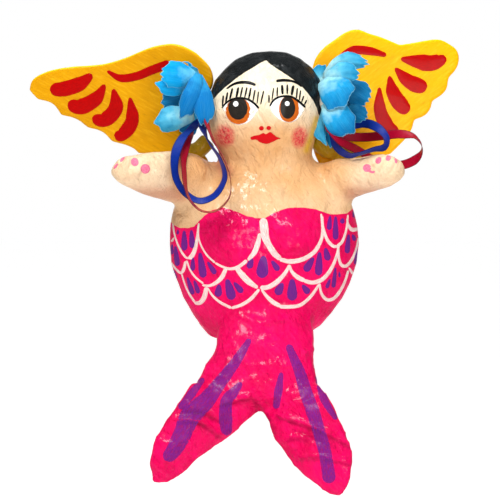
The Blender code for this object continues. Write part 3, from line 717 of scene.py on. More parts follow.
class Paint:
    """Gathers strokes and dabs of one paint into one mesh that lies just proud of a surface."""

    def __init__(self, name, slot, lift):
        self.name, self.slot, self.lift = name, slot, lift
        self.points, self.faces, self.uvs = [], [], []

    def lay(self, surface, ray, x, z, share):
        """The point of the surface behind a spot of the view, raised by a share of the paint's lift."""
        start, direction = ray(x, z)
        hit, normal, _, _ = surface.ray_cast(start, direction)
        if hit is None:
            return None
        if normal.dot(direction) > 0:
            normal = -normal
        return hit + normal * self.lift * share * MM

    def grid(self, rows, uvs):
        """Adds a grid of points; a quad with a missing corner is left out."""
        start = len(self.points)
        width = len(rows[0])
        missing = set()
        for row, row_uvs in zip(rows, uvs):
            for point, uv in zip(row, row_uvs):
                if point is None:
                    missing.add(len(self.points))
                    point = Vector((0, 0, 0))
                self.points.append(point)
                self.uvs.append(uv)
        for i in range(len(rows) - 1):
            for j in range(width - 1):
                a = start + i * width + j
                face = (a, a + 1, a + width + 1, a + width)
                corners = [self.points[k] for k in face]
                longest = max((p - q).length for p in corners for q in corners)
                if not missing.intersection(face) and longest < 9 * MM:
                    self.faces.append(face)

    def stroke(self, surface, line, widths, ray=sight, across=7, step=0.8):
        """A round-ended brush stroke along a line, its width given at points spread evenly along it."""
        line, length = smooth_line(line, step)
        share = np.linspace(0, 1, len(line))
        wide = np.interp(share, np.linspace(0, 1, len(widths)), widths)
        near = np.minimum(share, 1 - share) * length / np.maximum(wide / 2, 0.01)
        wide = wide * np.sqrt(np.clip(1 - (1 - np.clip(near, 0, 1)) ** 2, 0.02, 1))
        along = np.gradient(line, axis=0)
        side = np.column_stack([-along[:, 1], along[:, 0]])
        side /= np.maximum(np.linalg.norm(side, axis=1), 1e-9)[:, None]
        rows, uvs = [], []
        for spot, turn, w, s in zip(line, side, wide, share):
            row, row_uvs = [], []
            for v in np.linspace(-1, 1, across):
                x, z = spot + turn * v * w / 2
                row.append(self.lay(surface, ray, x, z, 1 - 0.75 * abs(v) ** 3))
                row_uvs.append((s * length, v))
            rows.append(row)
            uvs.append(row_uvs)
        self.grid(rows, uvs)

    def dab(self, surface, outline, rings=6):
        """A filled spot of paint inside a closed outline that is star-shaped about its middle."""
        outline, _ = smooth_line(outline, 0.7, closed=True)
        outline = np.vstack([outline, outline[:1]])
        middle = outline[:-1].mean(axis=0)
        rows, uvs = [], []
        for r in np.linspace(0.0, 1.0, rings + 1):
            row = []
            for spot in outline:
                x, z = middle + (spot - middle) * r
                row.append(self.lay(surface, sight, x, z, 1 - 0.75 * r**4))
            rows.append(row)
            uvs.append([(spot[0] + spot[1] * 0.7, r) for spot in outline])
        self.grid(rows, uvs)

    def finish(self, material):
        mesh = bpy.data.meshes.new(self.name)
        mesh.from_pydata([tuple(p) for p in self.points], [], self.faces)
        mesh.shade_smooth()
        layer = mesh.uv_layers.new(name="stroke")
        for loop in mesh.loops:
            layer.data[loop.index].uv = self.uvs[loop.vertex_index]
        bm = bmesh.new()
        bm.from_mesh(mesh)
        loose = [vert for vert in bm.verts if not vert.link_faces]
        bmesh.ops.delete(bm, geom=loose, context="VERTS")
        bm.to_mesh(mesh)
        bm.free()
        obj = make_object(self.name, mesh, material)


def oval(x, z, half_x, half_z, turn=0.0):
    angles = np.linspace(0, 2 * pi, 28, endpoint=False)
    c, s = cos(radians(turn)), sin(radians(turn))
    return [(x + half_x * cos(a) * c - half_z * sin(a) * s, z + half_x * cos(a) * s + half_z * sin(a) * c)
            for a in angles]


def make_paint(name, colour, second=None, cover=1.0, streaks=0.0, ragged=0.25, roughness=0.4, coat=0.16):
    """Brushed paint: streaks along the stroke, a ragged edge, and thin places that let through."""
    material, tree, shader = new_material(name)
    uv, _, across = strip_coordinates(tree, "stroke")
    stretched = node(tree, "Mapping", {"Vector": uv, "Scale": (0.12, 3.5, 1.0)}).outputs["Vector"]
    hairs = noise_texture(tree, stretched, 2.0, 4.0, 0.7)
    fine = noise_texture(tree, object_coordinates(tree), 900.0, 3.0, 0.6)
    colour = mix(tree, remap(tree, hairs, 0.3, 0.7), colour, second or colour)
    tree.links.new(colour, shader.inputs["Base Color"])
    edge = math(tree, "ADD", across, math(tree, "MULTIPLY", math(tree, "SUBTRACT", fine, 0.62), ragged))
    alpha = remap(tree, edge, 1.0, 0.92)
    if cover < 1.0 or streaks:
        thin = remap(tree, hairs, 0.35, 0.65, max(0.0, cover - streaks), cover)
        alpha = math(tree, "MULTIPLY", alpha, thin, True)
    tree.links.new(alpha, shader.inputs["Alpha"])
    varnish(shader, roughness, coat, 0.12)
    bumped(tree, shader, hairs, 0.25, 0.4)
    return material


# scale lines in the front view: points and widths of each white stroke
SCALE_LINES = [
    ([(-46.2, 171), (-46.6, 162), (-44.5, 155), (-40.5, 148.5), (-35, 143.2)], [0.9, 1.2, 1.3, 1.4]),
    ([(-35, 143.2), (-30, 140.6), (-24.5, 139), (-18.5, 140.5), (-12.5, 145)], [1.4, 1.8, 2.4, 2.6]),
    ([(-12, 145), (-7.5, 150.5), (-5, 157), (-3.6, 164)], [2.2, 3.8, 3.6, 2.2]),
    ([(-1.5, 174.6), (-0.6, 168), (0.2, 161.5), (2.5, 156), (6.5, 150), (11, 145.6)],
     [5.4, 6.2, 5.4, 4.4, 4.4, 3.4]),
    ([(10, 145.8), (17, 144.2), (24, 145), (30, 147.5), (35, 151.5), (38, 156)], [2.6, 3.4, 3.2, 3, 2.8]),
    ([(37.5, 155), (39.8, 161), (40.2, 168), (39.2, 177.6)], [2.6, 2.2, 1.7, 1.3]),
    ([(-64.5, 171), (-63.5, 164), (-61, 156), (-57.5, 149.5), (-54.5, 146.6), (-51.5, 147.4)],
     [1.3, 1.2, 1.4, 1.6]),
    ([(-53, 145.8), (-50, 150), (-48, 157), (-47, 166), (-46.4, 171)], [3.4, 3, 2.2, 1.4, 1]),
    ([(-66, 144), (-62.5, 139), (-59, 136.2), (-57, 138.5), (-55.4, 144.5)], [1.2, 1.4, 2.2, 2]),
    ([(-66, 159), (-65, 158.5), (-63.8, 161)], [1.2, 1.6, 1]),
    ([(-54.8, 145), (-52.5, 138.5), (-48.5, 133), (-43, 128.6)], [1, 1.3, 1.4, 1.4]),
    ([(-44, 127.6), (-39, 127.2), (-34, 129.5), (-30, 133.5), (-27.2, 139.4)], [1.4, 2, 2.8, 3.2, 2.6]),
    ([(-20.5, 140.4), (-17, 136), (-12, 130.6), (-5, 125.6)], [3, 4.4, 4.2, 2.2]),
    ([(-3.5, 125.8), (1.5, 126), (6.5, 128.5), (11, 132.4), (15, 137.5), (17, 142)], [3, 3.4, 3.4, 2.6, 1.8]),
    ([(17, 142), (18.5, 137.5), (22.5, 133.4), (28, 130.6)], [1.6, 2.4, 3.2, 2.8]),
    ([(27, 130.8), (33, 129.4), (39, 131), (44, 135.6), (48, 142.5), (50.6, 150), (51.6, 156)],
     [2.6, 3, 2.6, 2, 1.6]),
    ([(40.2, 176), (40.8, 168), (43.5, 159.5), (47.5, 155), (51, 154.8)], [1.2, 1.3, 2, 2.4, 2]),
    ([(50.5, 154.8), (54, 158), (56.4, 164.5), (57.6, 171), (58, 177)], [2.2, 2, 1.6, 1.4, 1.2]),
    ([(57.2, 174.5), (58.4, 169.5), (61, 166.4), (65.5, 167)], [1, 1.8, 2.8, 2.4]),
    ([(51.2, 155), (51.6, 147), (53.4, 141.8), (56.6, 141), (59.6, 143.5)], [1.6, 1.8, 2.2, 2.4]),
    ([(59, 142.8), (61.5, 147), (64, 153.5), (65.4, 161)], [2.2, 1.6, 1.2]),
    ([(-58.4, 135.8), (-56, 128), (-53, 121.5), (-49, 115.4)], [1, 1.2, 1.4, 1.6]),
    ([(-49.4, 115), (-45.4, 115.4), (-42.4, 119.5), (-41, 126.4)], [2, 3.4, 3.4, 2.6]),
    ([(-40.4, 126), (-36.5, 120), (-31, 115.4), (-23.5, 111.6)], [1, 1.6, 2, 2]),
    ([(-23.6, 111.4), (-16, 114), (-9.5, 118.4), (-4, 124.8)], [2, 2.4, 2.6, 2]),
    ([(-2.6, 124.8), (1, 120), (5.5, 115.8), (11, 112.8)], [1.4, 2.4, 3.2, 2.8]),
    ([(10, 112.6), (17, 112.4), (24, 113.4), (30, 117.6), (34.5, 123), (38, 128.4)],
     [2.8, 2.6, 2.4, 2.2, 1.6]),
    ([(38.2, 129), (39.4, 122), (43, 117.6), (47.5, 118), (51.5, 122), (55.4, 129), (58.4, 138)],
     [1.2, 2, 2.4, 2.2, 1.8, 1.6]),
    ([(58.6, 140), (60.5, 137), (62.4, 133.4)], [1.4, 1.8, 1]),
]

# purple teardrops in the front view: narrow top, round foot, width; frayed ones end ragged
TEARDROPS = [
    ((-61, 166.5), (-61, 163), 1.5), ((-56.6, 165.8), (-56.4, 151.8), 3.5),
    ((-51.6, 166.2), (-50.8, 153.4), 3.3), ((-65, 156.4), (-65.2, 149), 2), ((-62.8, 155), (-61.2, 141), 3),
    ((-64.2, 138.5), (-62, 131.5), 1.8), ((-50.4, 147), (-50.6, 137.6), 2.6),
    ((-45.6, 150.4), (-43, 132.8), 4.2), ((-40.2, 144), (-34.6, 135.4), 2.9),
    ((-8.8, 146.4), (-11.4, 139.2), 3.6), ((-1, 148.2), (-2.2, 132.6), 6.6),
    ((4.6, 144.8), (9.6, 137.8), 3.2), ((34, 147), (28, 137.2), 4.2), ((38.2, 150.8), (37.4, 134.4), 4.2),
    ((42.2, 153.8), (44.2, 144.8), 3.6), ((45.6, 176.2), (44.8, 166.2), 2.7),
    ((49.4, 175.8), (49.4, 159.4), 3.2), ((54, 174.6), (54.2, 170.6), 2.7),
    ((58.6, 163.2), (57.4, 149.8), 2.9), ((61.2, 163.2), (63, 158.6), 2.4),
    ((62.3, 181.5), (62.5, 174.8), 2), ((-54.4, 133.2), (-50.4, 121), 2.7),
    ((-49.6, 131), (-46.4, 121.8), 2.6), ((64.4, 154), (63, 142), 1.5), ((-32, 128.2), (-33, 119.4), 4.1),
    ((-26.6, 131.8), (-22.8, 117.4), 5.2), ((-21.8, 129.6), (-15.8, 122.4), 3.4),
    ((12.4, 129.2), (8.2, 120.8), 4.6), ((19, 132), (19, 116.8), 5.6), ((26, 127.8), (30.8, 121.8), 3.6),
    ((45.6, 132), (43, 125.4), 2.1), ((49.4, 140), (47.8, 125.8), 2.4), ((52, 137.2), (52.2, 133), 1.3),
]


# shares of the width, spread evenly from the top to the foot
TEARDROP_SHAPE = (0.5, 1.0, 1.3, 1.2)
LASH_SHAPE = (1.2, 1.5, 1.0)


def teardrop(paint, surface, top, foot, width, ray=sight):
    top, foot = np.array(top, float), np.array(foot, float)
    paint.stroke(surface, [top, (top + foot) / 2, foot], [width * share for share in TEARDROP_SHAPE], ray)


# rows of scales on the back: top, foot, how far the row reaches to each side, and its shift inwards
BACK_ROWS = [(163, 142, 60, 0), (146, 125, 60, 12), (129, 109, 48, 0), (113, 95, 36, 0)]
BACK_PITCH = 24.0


def back_scales(lines, drops, surface):
    """The same rows of scales carried round the back, where nothing shows how they run."""
    half = BACK_PITCH / 2
    for top, foot, reach, shift in BACK_ROWS:
        for middle in np.arange(-reach + shift, reach - shift - 1, BACK_PITCH) + half:
            arc = [(middle - half * cos(a), top - (top - foot) * sin(a)) for a in np.linspace(0, pi, 9)]
            lines.stroke(surface, arc, [1.4, 2.2, 3.2, 2.6, 1.6], from_behind)
            for slant, share in ((-5.5, 0.7), (0, 1.0), (5.5, 0.65)):
                high = top + 1 - abs(slant) * 0.6
                teardrop(drops, surface, (middle + slant * 0.5, high),
                         (middle + slant, high - 14 * share), 3.6 * share, from_behind)


def paint_scales(surface):
    lines = Paint("scale_lines", "painted_skin", 0.22)
    for line, widths in SCALE_LINES:
        lines.stroke(surface, line, widths)
    drops = Paint("scale_teardrops", "painted_skin", 0.14)
    for top, foot, width in TEARDROPS:
        teardrop(drops, surface, top, foot, width)
    back_scales(lines, drops, surface)
    lines.finish(make_paint("scale_white", (0.92, 0.62, 0.58), (0.95, 0.86, 0.80), 1.0, 0.5, 0.25))
    drops.finish(make_paint("scale_purple", (0.10, 0.016, 0.24), (0.19, 0.014, 0.20), 0.98, 0.12, 0.35))


# broad purple stripes down the tail: points and widths
TAIL_STRIPES = [
    ([(-10.5, 90), (-16, 81), (-21.5, 72.5), (-32.5, 58), (-42, 46), (-52, 36.5), (-58.5, 22), (-64, 12),
      (-70, 5)],
     [3.6, 6.4, 8, 9.5, 12, 15, 13, 12, 8]),
    ([(-43, 62.5), (-51, 52), (-60, 41)], [3.4, 6, 4.4]),
    ([(-16.5, 59.5), (-22, 52.5), (-27, 46), (-27.5, 33), (-26.5, 22.5)], [3.6, 7.6, 9, 9.5, 7]),
    ([(16, 86), (24, 67.5), (28.5, 53), (33.8, 38), (38.8, 22), (42, 10.5), (45.5, -11)],
     [4.6, 7.4, 9, 9.6, 9, 9, 9.4]),
    ([(11.5, 66.5), (9.5, 54), (7.5, 41)], [3, 6, 4.4]),
    ([(36, 64.5), (41.5, 47.5), (50, 33.5)], [2.6, 5.8, 3]),
]


def paint_tail_stripes(surface):
    stripes = Paint("tail_stripes", "painted_tail", 0.16)
    for line, widths in TAIL_STRIPES:
        stripes.stroke(surface, line, widths, across=11)
    for x, lean in ((-20, -0.25), (6, 0.1), (28, 0.3)):
        line = [(x + lean * (84 - z), z) for z in (84, 66, 48, 30)]
        stripes.stroke(surface, line, [3.5, 6, 7, 5], from_behind, across=9)
    purple = make_paint("stripe_purple", (0.11, 0.020, 0.27), (0.27, 0.012, 0.24), 0.97, 0.6, 0.4, 0.4, 0.1)
    stripes.finish(purple)


# ---------------------------------------------------------------- face

EYE_WHITES = [
    [(-29.8, 251.8), (-27, 255), (-24, 257.2), (-18.8, 258.6), (-12.5, 257.8), (-8, 255), (-4.4, 251.2),
     (-6.2, 247.4), (-9.6, 243), (-13, 240.6), (-18, 239.6), (-23, 241), (-27, 245), (-28.8, 248.8)],
    [(3.2, 253), (6, 257), (10.5, 259.6), (17, 259.8), (22.4, 257.2), (28, 252.4), (26.8, 248.6),
     (23.6, 244.2), (19, 241.6), (14, 241.6), (9.6, 243.6), (6, 247), (3.8, 250)],
]
IRISES = [(-18.5, 249.4, 9.2, 9.4), (16.6, 250.9, 7.6, 9.4)]
PUPILS = [(-18.8, 250.7, 7.5, 8.5), (16.0, 251.5, 5.9, 8.4)]
GLINTS = [(-20.3, 254.3, 2.3, 2.4), (15.5, 254.6, 2.1, 2.2)]
LIDS = [
    ([(-30.2, 251.6), (-27.5, 254.8), (-24, 257.2), (-18.8, 258.5), (-12.5, 257.8), (-7.5, 254.8),
      (-4.3, 251.2)],
     [0.9, 1.4, 1.6, 1.6, 1.7, 1.5]),
    ([(3.3, 252.8), (6, 257), (10.8, 259.5), (17.5, 259.6), (22.8, 256.8), (28.3, 252)],
     [1.2, 1.5, 1.5, 1.6, 1.8, 1.5]),
]
BROWS = [
    ([(-26.9, 265), (-22, 268.2), (-16.5, 269.5), (-11, 269.2), (-6.4, 267.6)], [1.2, 1.7, 2.1, 2.4, 1.9]),
    ([(7.7, 270.4), (12.5, 271), (18, 270.6), (22, 269.2), (25.6, 266.4)], [2.0, 2.2, 1.9, 1.5, 0.8]),
]
LASHES = [
    ((-29.1, 260.4), (-29.8, 252.8), 0.9), ((-26.1, 262.7), (-27.6, 254.4), 1.0),
    ((-22.7, 265.4), (-24.7, 257.6), 1.1), ((-18.5, 266.2), (-20.2, 258.4), 1.2),
    ((-15.7, 266.4), (-17.3, 258.8), 0.9), ((-12.6, 266.2), (-14.2, 258.6), 0.9),
    ((-9.8, 265.8), (-11.6, 257), 1.0), ((-6.9, 264.6), (-8.5, 256), 0.8),
    ((-4.5, 263.2), (-5.6, 254.4), 0.7), ((-0.9, 263.8), (-3.1, 254), 0.8),
    ((2.8, 260.8), (2.8, 254.8), 0.8), ((6.1, 265.8), (4.8, 257), 0.7), ((8.7, 266.2), (8.4, 259.4), 0.8),
    ((11.9, 267.8), (12.3, 261), 1.3), ((15.6, 268), (15.5, 261.2), 1.0),
    ((19.8, 267.4), (18.6, 260.4), 1.4), ((22.6, 265.6), (21.9, 258.2), 0.9),
    ((24.9, 264), (23.9, 256.8), 0.8), ((27.1, 260.2), (25.5, 255.4), 0.8),
    ((29.2, 257.2), (27.4, 253.6), 0.8),
]
LIPS = [(-10.4, 230.8), (-7.8, 232.2), (-4.4, 232.8), (-1.2, 234.2), (0.6, 233.4), (3.8, 234.9), (6.4, 233),
        (8.4, 231.4), (11.1, 230.4), (8, 229.2), (5.2, 227.6), (0.8, 226.4), (-3.6, 227.6), (-6.2, 229.4),
        (-9.6, 229.3)]
NOSTRILS = [(-2.5, 237.4, 1.75, 1.65), (2.6, 237.6, 1.7, 1.5)]
NAILS = [
    oval(-91.2, 213.8, 2.7, 3.0, 20), oval(-83.8, 209, 3.4, 3.4, 0), oval(-104.4, 210.8, 0.9, 2.4, -35),
    oval(-99.8, 215.8, 1.0, 2.6, -40), oval(71.4, 209.6, 2.9, 2.8, 0), oval(79.4, 214.9, 2.0, 2.6, -30),
    oval(86.3, 216.6, 1.8, 2.2, -30), oval(91.6, 214.8, 1.0, 2.2, 10),
]


def paint_face(surface):
    """Eyes from the whites up, then lids, lashes, brows, nostrils and lips, each a coat above the last."""
    whites = Paint("eye_whites", "painted_skin", 0.10)
    irises = Paint("eye_irises", "painted_skin", 0.20)
    pupils = Paint("eye_pupils", "painted_skin", 0.30)
    glints = Paint("eye_glints", "painted_skin", 0.40)
    lines = Paint("lashes_and_brows", "painted_skin", 0.32)
    lips = Paint("lips_and_nostrils", "painted_skin", 0.15)
    for outline in EYE_WHITES:
        whites.dab(surface, outline)
    for paint, ovals in ((irises, IRISES), (pupils, PUPILS), (glints, GLINTS), (lips, NOSTRILS)):
        for x, z, half_x, half_z in ovals:
            paint.dab(surface, oval(x, z, half_x, half_z))
    for line, widths in LIDS + BROWS:
        lines.stroke(surface, line, widths, step=0.5)
    for top, foot, width in LASHES:
        widths = [width * share for share in LASH_SHAPE]
        lines.stroke(surface, [top, np.add(top, foot) / 2, foot], widths, step=0.6, across=5)
    lips.dab(surface, LIPS, rings=8)
    whites.finish(make_paint("eye_white", (0.90, 0.87, 0.80), ragged=0.12))
    irises.finish(make_paint("iris_brown", (0.46, 0.085, 0.006), (0.60, 0.13, 0.01), ragged=0.12))
    pupils.finish(make_paint("pupil_black", (0.012, 0.011, 0.010), (0.03, 0.022, 0.016), ragged=0.12))
    glints.finish(make_paint("glint_white", (0.92, 0.92, 0.92), ragged=0.1))
    lines.finish(make_paint("lash_black", (0.004, 0.004, 0.004), ragged=0.25))
    lip_red = make_paint("lip_red", (0.50, 0.003, 0.006), (0.62, 0.004, 0.008), ragged=0.15, roughness=0.25)
    lips.finish(lip_red)


def paint_nails(surface):
    nails = Paint("nails", "painted_skin", 0.2)
    for outline in NAILS:
        nails.dab(surface, outline)
    nails.stroke(surface, [(72.5, 208), (75, 206.6), (77, 207.4)], [2, 1.6, 1.8])
    nails.finish(make_paint("nail_pink", (0.78, 0.10, 0.24), (0.90, 0.26, 0.40), 0.95, 0.3, 0.4))


# ---------------------------------------------------------------- wings

# red strokes on the boards, in the front view: points and widths
WING_STROKES = {
    "left": [
        ([(-110.5, 277.5), (-101, 272.5), (-89.5, 274), (-79.5, 278), (-66, 283)], [2, 5.8, 6.2, 6.5, 6.5]),
        ([(-150.5, 264.5), (-140.5, 265), (-129.5, 268.6), (-121, 275)], [9, 11, 10.5, 4.5]),
        ([(-138, 255), (-129.5, 252.4), (-118.5, 258), (-112, 268)], [8, 11.6, 10, 2.6]),
        ([(-121, 244.5), (-112.5, 243.2), (-104.5, 251.5), (-106, 265)], [7, 11, 10.4, 2.4]),
        ([(-105.5, 232.6), (-99.5, 233.2), (-93, 243), (-94.5, 259)], [7.5, 10.4, 9, 2]),
    ],
    "right": [
        ([(52, 287.5), (61.5, 292), (73.5, 291.4), (85, 288.5)], [2.6, 6.4, 6.2, 3]),
        ([(95, 286), (106, 284.2), (116, 283), (123, 285.6), (125, 288.6)], [2.6, 8, 12, 11, 7]),
        ([(91, 279.6), (99, 271.5), (107, 267.4), (113.5, 267)], [2.2, 8.6, 11.4, 10]),
        ([(87, 274), (89.8, 262), (96, 253), (101.5, 250.4)], [2, 9.4, 11.4, 10]),
        ([(80, 266), (80.6, 250), (85.6, 239), (93, 233.6)], [2, 8.4, 10.6, 8]),
    ],
}


def make_wing_paint(side, colour, light, edge):
    """Wing board brushed with yellow; the strokes run slantwise and leave thin streaks, and the upward-facing
    edges get a painted highlight.
    """
    material, tree, shader = new_material("wing_paint_" + side)
    turn = (0, 0.65, 0) if side == "right" else (0, -0.5, 0)
    streaks = noise_texture(tree, object_coordinates(tree, (0.22, 1, 1.6), turn), 420.0, 5.0, 0.65)
    cloud = noise_texture(tree, object_coordinates(tree), 32.0, 3.0)
    base = mix(tree, remap(tree, cloud, 0.3, 0.7), colour, light)
    base = mix(tree, remap(tree, streaks, 0.50, 0.72, 0.0, 0.6), base, edge)
    base = mix(tree, remap(tree, streaks, 0.42, 0.28, 0.0, 0.5), base, tuple(c * 0.6 for c in colour))
    # painted highlight: brighter yellow on the board's upward-facing edges, where light from above falls
    base = mix(tree, attribute(tree, "rim"), base, (1.0, 0.66, 0.0))
    tree.links.new(base, shader.inputs["Base Color"])
    varnish(shader, 0.42, 0.08, 0.2)
    bumped(tree, shader, noise_texture(tree, object_coordinates(tree), 140.0, 3.0), 0.25, 1.5)
    bumped(tree, shader, streaks, 0.45, 0.8)
    return material


# each board's yellow: its two main tones and the thin streaks
WING_COLOURS = {
    "left": ((0.60, 0.26, 0.0), (0.70, 0.32, 0.0), (0.85, 0.46, 0.01)),
    "right": ((0.88, 0.38, 0.0), (0.96, 0.45, 0.0), (1.0, 0.58, 0.02)),
}


# the boards and their fillets: radius of the filled corners and voxel sizes, in millimetres
BOARD_REACH = 0.8
BOARD_VOXEL = 0.8
FILLET_VOXEL = 0.8


def make_wing(side):
    """The board with its edges softened by paint, its brushwork and its red strokes."""
    points, quads = blended_surface(["wing_" + side], BOARD_REACH, BOARD_VOXEL, rounds=6)
    quads = outward_quads(points, quads)
    normals = normals_of(points, quads)
    points = pushed_out(points, normals, 0.25 * lumps(points, 14, 8))
    mesh = quad_mesh("wing_skin_" + side, points, quads)
    # the rim mask marks the upward-facing edges for the painted highlight
    store(mesh, "rim", ease((normals[:, 2] - 0.25) / 0.4) * 0.8)
    wing = make_object("wing_skin_" + side, mesh, make_wing_paint(side, *WING_COLOURS[side]))
    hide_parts("wing_" + side)
    surface = BVHTree.FromPolygons(points.tolist(), quads.tolist())
    strokes = Paint("wing_strokes_" + side, "wing_board", 0.3)
    for line, widths in WING_STROKES[side]:
        strokes.stroke(surface, line, widths, across=11)
    red = make_paint("wing_red_" + side, (0.32, 0.0, 0.0), (0.50, 0.0, 0.0), 1.0, 0.0, 0.12, 0.4, 0.1)
    strokes.finish(red)


def make_shaded_fillet_paint():
    material, tree, shader = new_material("fillet_paint")
    at = object_coordinates(tree)
    cloud = remap(tree, noise_texture(tree, at, 60.0, 4.0), 0.35, 0.65)
    # the wings' yellow paint, darkened to olive as painted shade on the strips between the boards and the
    # shoulders
    colour = mix(tree, cloud, (0.55, 0.33, 0.01), (0.80, 0.50, 0.02))
    tree.links.new(colour, shader.inputs["Base Color"])
    varnish(shader, 0.35, 0.5, 0.15)
    paper_relief(tree, shader, 0.6)
    return material


def make_fillets():
    paint = make_shaded_fillet_paint()
    for side in ("left", "right"):
        for face in ("front", "back"):
            node_name = f"wing_fillet_{side}_{face}"
            points, quads = blended_surface([node_name], BOARD_REACH, FILLET_VOXEL, rounds=6)
            quads = outward_quads(points, quads)
            points = pushed_out(points, normals_of(points, quads), 0.5 * lumps(points, 7, 6) + 0.3)
            fillet = make_object(node_name + "_skin", quad_mesh(node_name, points, quads), paint)
            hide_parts(node_name)


# ---------------------------------------------------------------- flowers

def at_depth(x, z, y):
    """The place at that Y, in figure millimetres, that shows at a spot of the front view."""
    start, direction = sight(x, z)
    steps = (place(0, y, 0).y - start.y) / direction.y
    return start + direction * steps


# silk tones from a petal's foot over its middle to its rim
SILK = {
    "pale": ((0.38, 0.70, 0.74), (0.10, 0.48, 0.68), (0.01, 0.27, 0.52)),
    "light": ((0.15, 0.56, 0.80), (0.0, 0.31, 0.70), (0.0, 0.34, 0.70)),
    "azure": ((0.02, 0.30, 0.60), (0.0, 0.15, 0.44), (0.0, 0.14, 0.38)),
    "mixed": ((0.32, 0.68, 0.78), (0.01, 0.31, 0.62), (0.0, 0.16, 0.42)),
    "deep": ((0.01, 0.18, 0.38), (0.0, 0.11, 0.28), (0.0, 0.14, 0.33)),
}

# petals: layer, tone, foot and tip (spot of the front view, then depth Y), belly of the spine, width, lobes
PETALS = {
    "left": [
        ("outer", "azure", (-47.5, 275, -9), (-42, 239.5, -26.5), (1.5, -5, 0), 14, 3),
        ("outer", "pale", (-50, 270, -1), (-53.5, 280.5, -3), (0, 0, 0), 11, 3),
        ("outer", "light", (-50, 264, 0), (-63, 282, 6), (0, 4, 0), 19, 3),
        ("outer", "deep", (-50, 256, 0), (-68, 262, 12), (0, 4, 0), 18, 3),
        ("outer", "azure", (-48, 250, 0), (-60, 236, 8), (0, 4, -2), 17, 3),
        ("middle", "pale", (-50, 247, -9), (-76.5, 240.5, -14), (0, -3, 1), 17, 2),
        ("middle", "deep", (-54, 259, -5), (-72, 254.5, -6), (0, -2, 0), 16, 3),
        ("middle", "light", (-49, 269.5, -10), (-76, 268, -13), (0, -3, -2.5), 12, 2),
        ("inner", "light", (-48, 272, -13), (-72.5, 275.5, -19), (0, -4, 1), 18, 4),
        ("inner", "azure", (-47, 276, -13), (-58, 245, -21), (1.5, -6, 0), 13, 2),
    ],
    "right": [
        ("outer", "pale", (41.5, 271, 0), (37, 281.5, 4), (-1, 0, 0), 11, 2),
        ("outer", "pale", (41, 258, -6), (42, 226.5, -13), (-5, -3, 0), 9.5, 2),
        ("outer", "mixed", (44, 252, -4), (46.5, 224.5, -9), (-1, -1, 0), 8, 2),
        ("outer", "azure", (46, 262, 2), (64, 264, 12), (0, 3, 0), 22, 4),
        ("outer", "mixed", (46, 256, 2), (60, 241, 9), (0, 3, 0), 18, 3),
        ("outer", "light", (46, 268, 2), (60, 282, 9), (0, 3, 0), 18, 3),
        ("middle", "deep", (55, 268, -6), (72.5, 257, -9), (0, -1, 0), 19, 5),
        ("middle", "deep", (58, 252, -7), (71, 244.5, -9), (0, -1, 0), 12, 4),
        ("middle", "pale", (41.5, 273, -7), (71.5, 283.5, -9), (-1, -3, 5), 13, 4),
        ("inner", "pale", (41, 270.5, -11), (65.5, 276, -17), (0, -4, 3), 14, 3),
        ("inner", "mixed", (40.5, 271.5, -13), (55.5, 253.5, -24), (0.5, -6, 2), 24, 2),
        ("inner", "mixed", (43.5, 260, -14), (60, 233.5, -19), (-1.5, -7, -1.5), 21, 2),
    ],
}


CLOTH_THICKNESS = 0.25
PETAL_ROWS = 20
PETAL_COLUMNS = 21


def add_petal(bm, layer, tone, foot, tip, belly, width, lobes, phase):
    """One broad silk petal along an arched spine: cupped across, ruffled and lobed at the rim."""
    foot, tip = at_depth(*foot) / MM, at_depth(*tip) / MM
    spine = tip - foot
    outward = Vector((0, -1 if (foot.y + tip.y) / 2 + HANG_POINT.y < 0 else 1, 0))
    side = spine.cross(outward).normalized()
    normal = side.cross(spine).normalized()
    verts = []
    for i in range(PETAL_ROWS):
        row = []
        for j in range(PETAL_COLUMNS):
            s = 2 * j / (PETAL_COLUMNS - 1) - 1
            rim = 1 - 0.30 * abs(s) ** 2.6 + 0.045 * cos(s * lobes * pi + phase) + 0.012 * sin(s * 29 + phase)
            t = i / (PETAL_ROWS - 1) * rim
            swell = sin(pi * min(1.0, 0.10 + t * 0.62)) ** 0.75
            half = width / 2 * swell * (1 + 0.03 * sin(t * 17 + phase))
            point = foot + spine * t + Vector(belly) * 4 * t * (1 - t) + side * s * half
            drop = 0.20 * width * abs(s) ** 2 * swell + 0.9 * t * t * sin(s * 4.2 + phase)
            fold = 0.35 * cos(s * 9 + phase) * t + 1.6 * max(0.0, t - 0.8) * sin(s * 6 + 2 * phase)
            row.append(bm.verts.new((point - normal * (drop - fold)) * MM))
        verts.append(row)
    add_grid(bm, layer, verts, material_index=tone)


